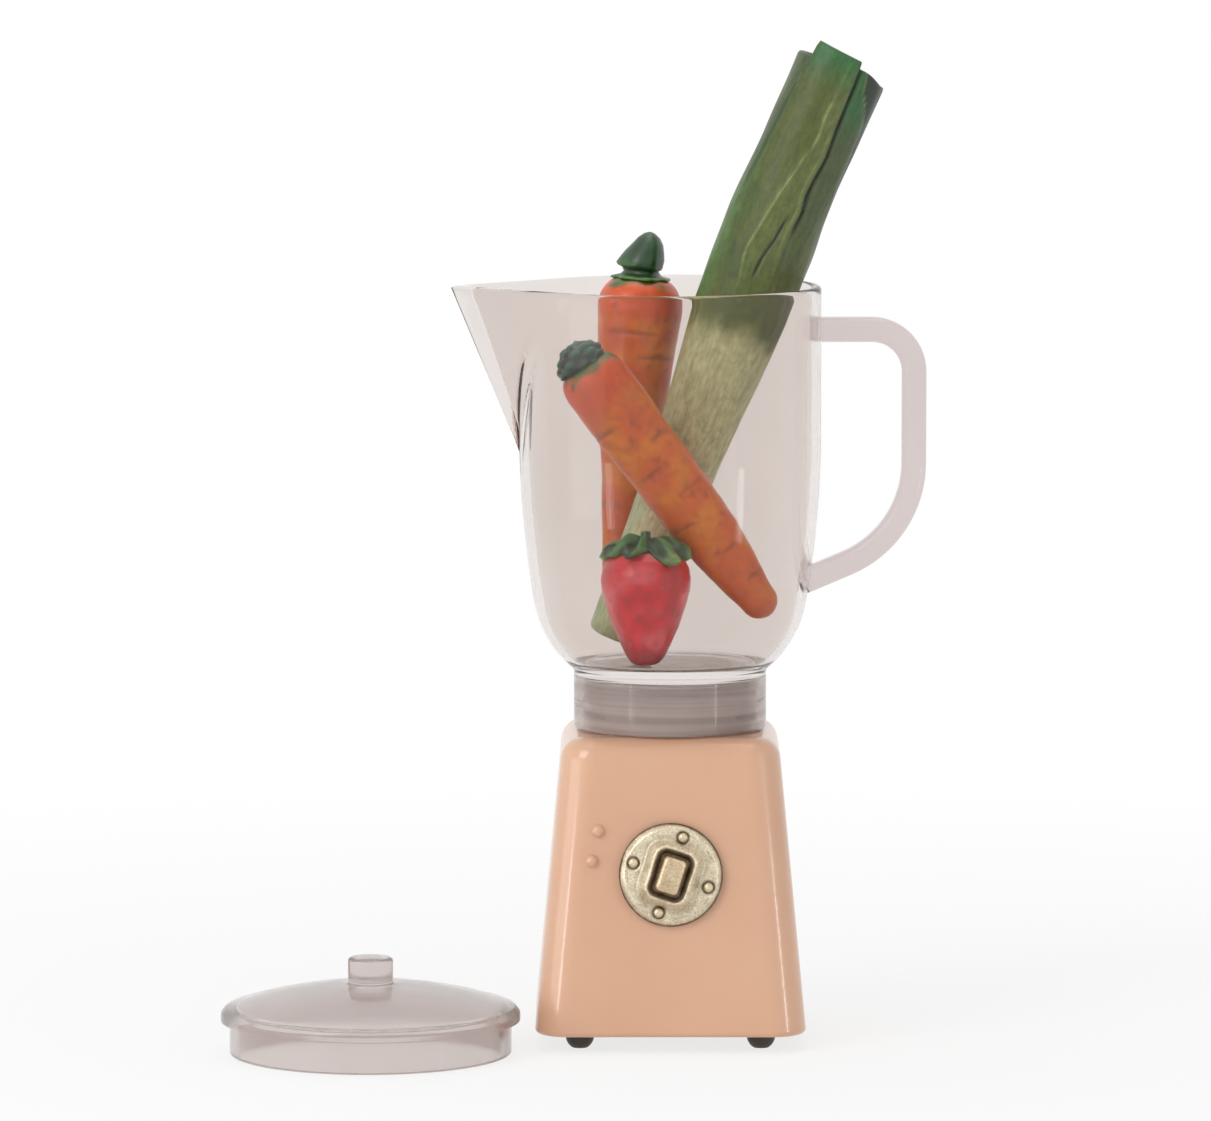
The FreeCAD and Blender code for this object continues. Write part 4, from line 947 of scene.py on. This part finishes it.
def calyx_piece():
    """Leaves that drape over the berry's shoulder, with a short stalk."""
    columns = round_columns(168)
    path = [(0.0, 12.32)]
    path += [(table(height, BERRY_PROFILE), height) for height in spaced(BERRY_TOP, 7.0, 60)]
    runs = [0.0]
    for start, end in zip(path, path[1:]):
        runs.append(runs[-1] + math.dist(start, end))
    reaches, heights = ([(run, point[axis]) for run, point in zip(runs, path)] for axis in (0, 1))

    def ring_at(share, lift):
        """Ring at a share of the leaves' length. Lift is 0 underneath and 1 on top."""
        ring = []
        for turn in columns:
            lobe = calyx_lobe(turn)
            vary = 1 + 0.14 * sin(turn * 2.3 + 1) + 0.1 * sin(turn * 5)
            run = share * (3.2 + lobe ** 0.7) * vary
            fold = 0.3 * sin(turn * CALYX_LEAVES + 0.8)
            place = Vector((cos(turn) * 3.2, sin(turn) * 3.2, share * 3.4))
            ridge = (fold + 0.25 * lobe ** 6) * step(share, 0.15, 0.5)
            crumple = 0.75 * noise.noise(place) + 0.3 * bell(share - 0.3, 0.2)
            rise = lift * (0.5 + ridge + crumple) - 0.12 * (1 - lift)
            wide = table(run, reaches) + rise * step(run, 1.0, 4.0)
            height = table(run, heights) + rise * (1 - step(run, 1.5, 4.5) * 0.6)
            ring.append(spot(BERRY_PLACE, wide, turn, height))
        return ring

    rings = [circle(BERRY_PLACE, 0.0, 12.2, columns)]
    rings += [ring_at(share, 0.0) for share in (0.12, 0.3, 0.5, 0.7, 0.85, 0.97)]
    rings.append(ring_at(1.0, 0.5))
    rings += [ring_at(share, 1.0) for share in spaced(0.98, 0.16, 16)]
    for reach, height in ((0.62, 12.95), (0.5, 13.4), (0.52, 13.75), (0.35, 13.85), (0.0, 13.8)):
        rings.append(circle(BERRY_PLACE, reach, height, columns))
    tones = []
    for point in flattened(rings):
        x, y = point[0] - BERRY_PLACE[0], point[1] - BERRY_PLACE[1]
        turn, away = math.atan2(y, x) % FULL_TURN, math.hypot(x, y)
        fold = noise.noise(Vector((cos(turn) * 5, sin(turn) * 5, away * 0.8)))
        tones.append(layered(
            (14, 66, 26),
            # Painted highlight and shade: lighter on the ridges of the leaves' folds, darker in
            # their valleys.
            ((74, 132, 62), step(sin(turn * CALYX_LEAVES + 0.8) + fold, -0.5, 0.9)),
            ((150, 176, 92), step(away, 3.7, 4.6) * 0.6),
            # Painted shade: dark in the gaps between the leaves.
            ((12, 40, 18), bell(calyx_lobe(turn), 0.2) * 0.8)))
    make_piece("berry_leaves", rings, LEAF, "jug", ["strawberry_calyx"],
               tones, flattened(rings))


# Dial

DIAL_PLACE = Vector((0.0, -12.5581, 18.6))
DIAL_SLOPE = math.radians(5.378)
DIAL_TURN = math.radians(18.0)
DISC_COLUMNS = 260
RIVET_CIRCLE = 4.1
RIVETS = [(RIVET_CIRCLE * cos(turn), RIVET_CIRCLE * sin(turn)) for turn in round_columns(4)]
GRIP_HALF = (1.3, 1.95)
GRIP_TOP = 2.68
# Grip from its foot up: inset, height and darkness
GRIP_ROWS = ((0.0, 1.0, 1.0), (0.0, 1.3, 1.0), (0.02, 1.7, 0.55), (0.04, 2.1, 0.2),
             (0.12, 2.4, 0.0), (0.26, 2.58, 0.0), (0.45, 2.66, 0.05), (0.75, GRIP_TOP, 0.1))
# Rivet head from its foot up: radius, rise and darkness
RIVET_ROWS = ((0.0, -0.3, 1.0), (0.5, -0.3, 1.0), (0.52, 0.0, 0.9), (0.5, 0.16, 0.5),
              (0.42, 0.27, 0.2), (0.3, 0.34, 0.1), (0.15, 0.38, 0.0), (0.0, 0.39, 0.0))
BRONZE = srgb(92, 70, 46)
SILVER = srgb(216, 206, 184)
GRIP_TONE = srgb(208, 190, 160)
RIVET_TONE = srgb(214, 204, 176)
# Unit vectors: out of the casing's slope, up it, and across and up the turned dial
DIAL_OUT = Vector((0, -cos(DIAL_SLOPE), sin(DIAL_SLOPE)))
SLOPE_UP = Vector((0, sin(DIAL_SLOPE), cos(DIAL_SLOPE)))
DIAL_ACROSS = Vector((1, 0, 0)) * cos(DIAL_TURN) - SLOPE_UP * sin(DIAL_TURN)
DIAL_UP = Vector((1, 0, 0)) * sin(DIAL_TURN) + SLOPE_UP * cos(DIAL_TURN)


def dial_point(x, y, height):
    return tuple(DIAL_PLACE + DIAL_ACROSS * x + DIAL_UP * y + DIAL_OUT * height)


def dial_ring(x, y, reach, height, count):
    """Round ring on the dial. A radius of 0 gives a pole."""
    return [dial_point(x + reach * cos(turn), y + reach * sin(turn), height)
            for turn in round_columns(count if reach else 1)]


def block_distance(x, y, half_x, half_y, corner):
    """Signed distance from a rounded rectangle, negative inside."""
    over_x = abs(x) - half_x + corner
    over_y = abs(y) - half_y + corner
    outside = math.hypot(max(over_x, 0.0), max(over_y, 0.0))
    return outside + min(max(over_x, over_y), 0.0) - corner


def dial_height_tone(x, y):
    """Height of the cast disc above the casing, and how dark it is: patina in its hollows and
    painted shade at its rim.
    """
    away = math.hypot(x, y)
    wobble = 0.1 * noise.noise(Vector((x * 0.5, y * 0.5, 1.0)))
    ridge = block_distance(x, y, 2.8, 3.3, 1.6) + wobble
    moat = block_distance(x, y, 1.7, 2.35, 0.8) + wobble * 0.6
    rivet = min(math.hypot(x - rivet_x, y - rivet_y) for rivet_x, rivet_y in RIVETS)
    height = 0.95 + 0.4 * (1 - (away / 5.0) ** 2) * fall(away, 4.6, 5.2)
    height -= 0.35 * step(away, 4.75, 5.35)
    height += fall(ridge, -0.75, 0.4)
    height -= 0.9 * fall(moat, -0.3, 0.5)
    height -= 0.1 * bell(rivet - 0.6, 0.16)
    height += 0.03 * noise.noise(Vector((x * 1.1, y * 1.1, 4.0)))
    height += 0.012 * noise.noise(Vector((x * 5.0, y * 5.0, 2.0)))
    pit = bell(math.hypot(x - 3.6, y + 2.9), 0.16)
    # The darkening at the disc's rim is painted shade; the rest is patina in its hollows.
    dark = max(0.9 * fall(moat, -0.25, 0.5), bell(rivet - 0.58, 0.16),
               0.3 * bell(ridge - 0.35, 0.3), step(away, 5.0, 5.35), 0.6 * pit)
    worn = noise.noise(Vector((x * 1.6, y * 1.6, 8.0)))
    return height, clamped(dark + 0.14 * worn)


def disc_piece():
    rings = [dial_ring(0, 0, reach, height, DISC_COLUMNS) for reach, height in (
        (0.0, 0.16), (2.6, 0.16), (5.0, 0.16), (5.25, 0.2), (5.38, 0.34))]
    # The disc's underside and edge are dark bronze: painted shade under and around its rim.
    tones = [BRONZE] * len(flattened(rings))
    for reach in [5.4] + spaced(5.36, 0.08, 84):
        ring = []
        for turn in round_columns(DISC_COLUMNS):
            wave = 0.006 * sin(3 * turn + 1) + 0.005 * sin(7 * turn) - 0.011
            span = reach * (1 + wave) if reach > 4.6 else reach
            x, y = span * cos(turn), span * sin(turn)
            height, dark = dial_height_tone(x, y)
            ring.append(dial_point(x, y, 0.5 if reach > 5.37 else height))
            tones.append(mixed(SILVER, BRONZE, dark))
        rings.append(ring)
    rings.append([dial_point(0, 0, dial_height_tone(0, 0)[0])])
    tones.append(BRONZE)
    make_piece("dial_casting", rings, PEWTER, "dial", ["dial_disc"], tones)


def grip_reach(turn, inset):
    """Distance from the grip's middle to its border at an angle, found by halving."""
    corner = max(0.5 - inset * 0.4, 0.2)
    half_x, half_y = GRIP_HALF
    low, high = 0.0, 4.0
    for _ in range(24):
        middle = (low + high) / 2
        if block_distance(cos(turn) * middle, sin(turn) * middle,
                          half_x - inset, half_y - inset, corner) < 0:
            low = middle
        else:
            high = middle
    return low


def grip_piece():
    rings, tones = [[dial_point(0, 0, 1.0)]], [BRONZE]
    for inset, height, dark in GRIP_ROWS:
        ring = []
        for turn in round_columns(96):
            reach = grip_reach(turn, inset)
            x, y = cos(turn) * reach, sin(turn) * reach
            rough = 0.03 * noise.noise(Vector((x * 2.5, y * 2.5, 3.0)))
            ring.append(dial_point(x, y, min(height + rough, 2.7)))
            tones.append(mixed(GRIP_TONE, BRONZE, dark))
        rings.append(ring)
    rings.append([dial_point(0, 0, GRIP_TOP)])
    tones.append(GRIP_TONE)
    make_piece("dial_grip_casting", rings, PEWTER, "dial", ["dial_grip"], tones)


def rivet_piece(index):
    x, y = RIVETS[index]
    seat = dial_height_tone(x, y)[0]
    rings, tones = [], []
    for reach, rise, dark in RIVET_ROWS:
        ring = dial_ring(x, y, reach, seat + rise, 28)
        rings.append(ring)
        tones += [mixed(RIVET_TONE, BRONZE, dark)] * len(ring)
    make_piece(f"dial_rivet_{index}", rings, PEWTER, "dial", ["dial_rivets"], tones)


jug_piece()
handle_piece()
lid_piece()
leek_piece()
for which in CARROTS:
    carrot_piece(which)
rear_top_piece()
front_top_piece()
berry_piece()
calyx_piece()
disc_piece()
grip_piece()
for index in range(len(RIVETS)):
    rivet_piece(index)


# Floor, light and camera

PHOTO_WIDTH = 1211
FOCAL_PIXELS = 8582
AXIS_PIXEL = 670.5
CAMERA_DISTANCE = 0.895
CAMERA_HEIGHT = 0.146
CAMERA_DROP = math.radians(6.118)
SENSOR = 36.0
WHITE = 1.0
WORLD_LEVEL = 0.45
FLOOR_SIZE = 6.0
FLOOR_HEIGHT = -0.00005
# Distances from the axis between which the floor turns white, and its white near the toy
FLOOR_NEAR = 0.04
FLOOR_FAR = 0.2
FLOOR_NEAR_WHITE = 0.78
MIDDLE = (0.0, 0.0, 0.04)
LOW_MIDDLE = (0.0, 0.0, 0.03)
LIGHTS = (
    ("key", (-0.5, -0.5, 0.5), MIDDLE, 0.35, 0.5, 2.15),
    ("fill", (0.6, -0.5, 0.3), MIDDLE, 0.4, 0.4, 0.3),
    ("top", (0.0, 0.1, 0.8), MIDDLE, 0.5, 0.5, 1.4),
    ("soft_left", (-0.23, -0.1, 0.03), LOW_MIDDLE, 0.14, 0.08, 0.062),
    ("strip_left", (-0.148, -0.135, 0.022), LOW_MIDDLE, 0.014, 0.036, 0.02),
    ("strip_right", (0.164, -0.115, 0.018), LOW_MIDDLE, 0.012, 0.036, 0.02),
)


def calculated(tree, operation, first, second):
    node = add_node(tree, "Math", operation=operation)
    tree.links.new(first, node.inputs[0])
    tree.links.new(second, node.inputs[1])
    return node.outputs["Value"]


def seen_directly(tree):
    """1 for camera, glossy and transmitted rays, and 0 for the others."""
    path = add_node(tree, "LightPath").outputs
    seen = calculated(tree, "MAXIMUM", path["Is Camera Ray"], path["Is Glossy Ray"])
    return calculated(tree, "MAXIMUM", seen, path["Is Transmission Ray"])


def studio_world():
    world = bpy.data.worlds.new("studio")
    world.use_nodes = True
    tree = world.node_tree
    level = add_node(tree, "MapRange", To_Min=WORLD_LEVEL, To_Max=WHITE, Value=seen_directly(tree))
    set_up(tree, tree.nodes["Background"], Color=grey(WHITE), Strength=level.outputs["Result"])
    bpy.context.scene.world = world


def studio_floor():
    """White floor that keeps the toy's shadow."""
    bpy.ops.mesh.primitive_plane_add(size=FLOOR_SIZE, location=(0.0, 0.0, FLOOR_HEIGHT))
    floor = bpy.context.object
    floor.name = "studio_floor"
    material, tree, shader = new_material(
        "white_floor", Base_Color=grey(0.92), Roughness=0.9, Specular_IOR_Level=0.0)
    glow = add_node(tree, "Emission", Color=grey(WHITE))
    away = add_node(tree, "VectorMath", operation="LENGTH")
    tree.links.new(object_coordinates(tree), away.inputs[0])
    white = add_node(tree, "MapRange", From_Min=FLOOR_NEAR, From_Max=FLOOR_FAR,
                     To_Min=FLOOR_NEAR_WHITE, To_Max=WHITE, Value=away.outputs["Value"])
    mix = add_node(tree, "MixShader", Fac=calculated(
        tree, "MULTIPLY", seen_directly(tree), white.outputs["Result"]))
    tree.links.new(shader.outputs["BSDF"], mix.inputs[1])
    tree.links.new(glow.outputs["Emission"], mix.inputs[2])
    tree.links.new(mix.outputs["Shader"], tree.nodes["Material Output"].inputs["Surface"])
    floor.data.materials.append(material)


def area_light(name, place, target, width, height, power):
    data = bpy.data.lights.new(name, "AREA")
    data.energy = power
    data.shape = "RECTANGLE"
    data.size = width
    data.size_y = height
    light = add_object(name, data)
    light.location = place
    light.rotation_euler = (Vector(target) - Vector(place)).to_track_quat("-Z", "Y").to_euler()


def photo_camera():
    """Camera of the photograph, a little left of the toy's axis."""
    data = bpy.data.cameras.new("photo_camera")
    data.sensor_width = SENSOR
    data.sensor_fit = "HORIZONTAL"
    data.lens = FOCAL_PIXELS / PHOTO_WIDTH * SENSOR
    data.clip_start = 0.01
    data.clip_end = 20.0
    camera = add_object("photo_camera", data)
    off_axis = (AXIS_PIXEL - PHOTO_WIDTH / 2) / FOCAL_PIXELS * CAMERA_DISTANCE
    camera.location = (-off_axis, -CAMERA_DISTANCE, CAMERA_HEIGHT)
    camera.rotation_euler = (math.pi / 2 - CAMERA_DROP, 0.0, 0.0)
    bpy.context.scene.camera = camera


studio_world()
studio_floor()
for row in LIGHTS:
    area_light(*row)
photo_camera()
bpy.context.scene.view_settings.view_transform = "Standard"
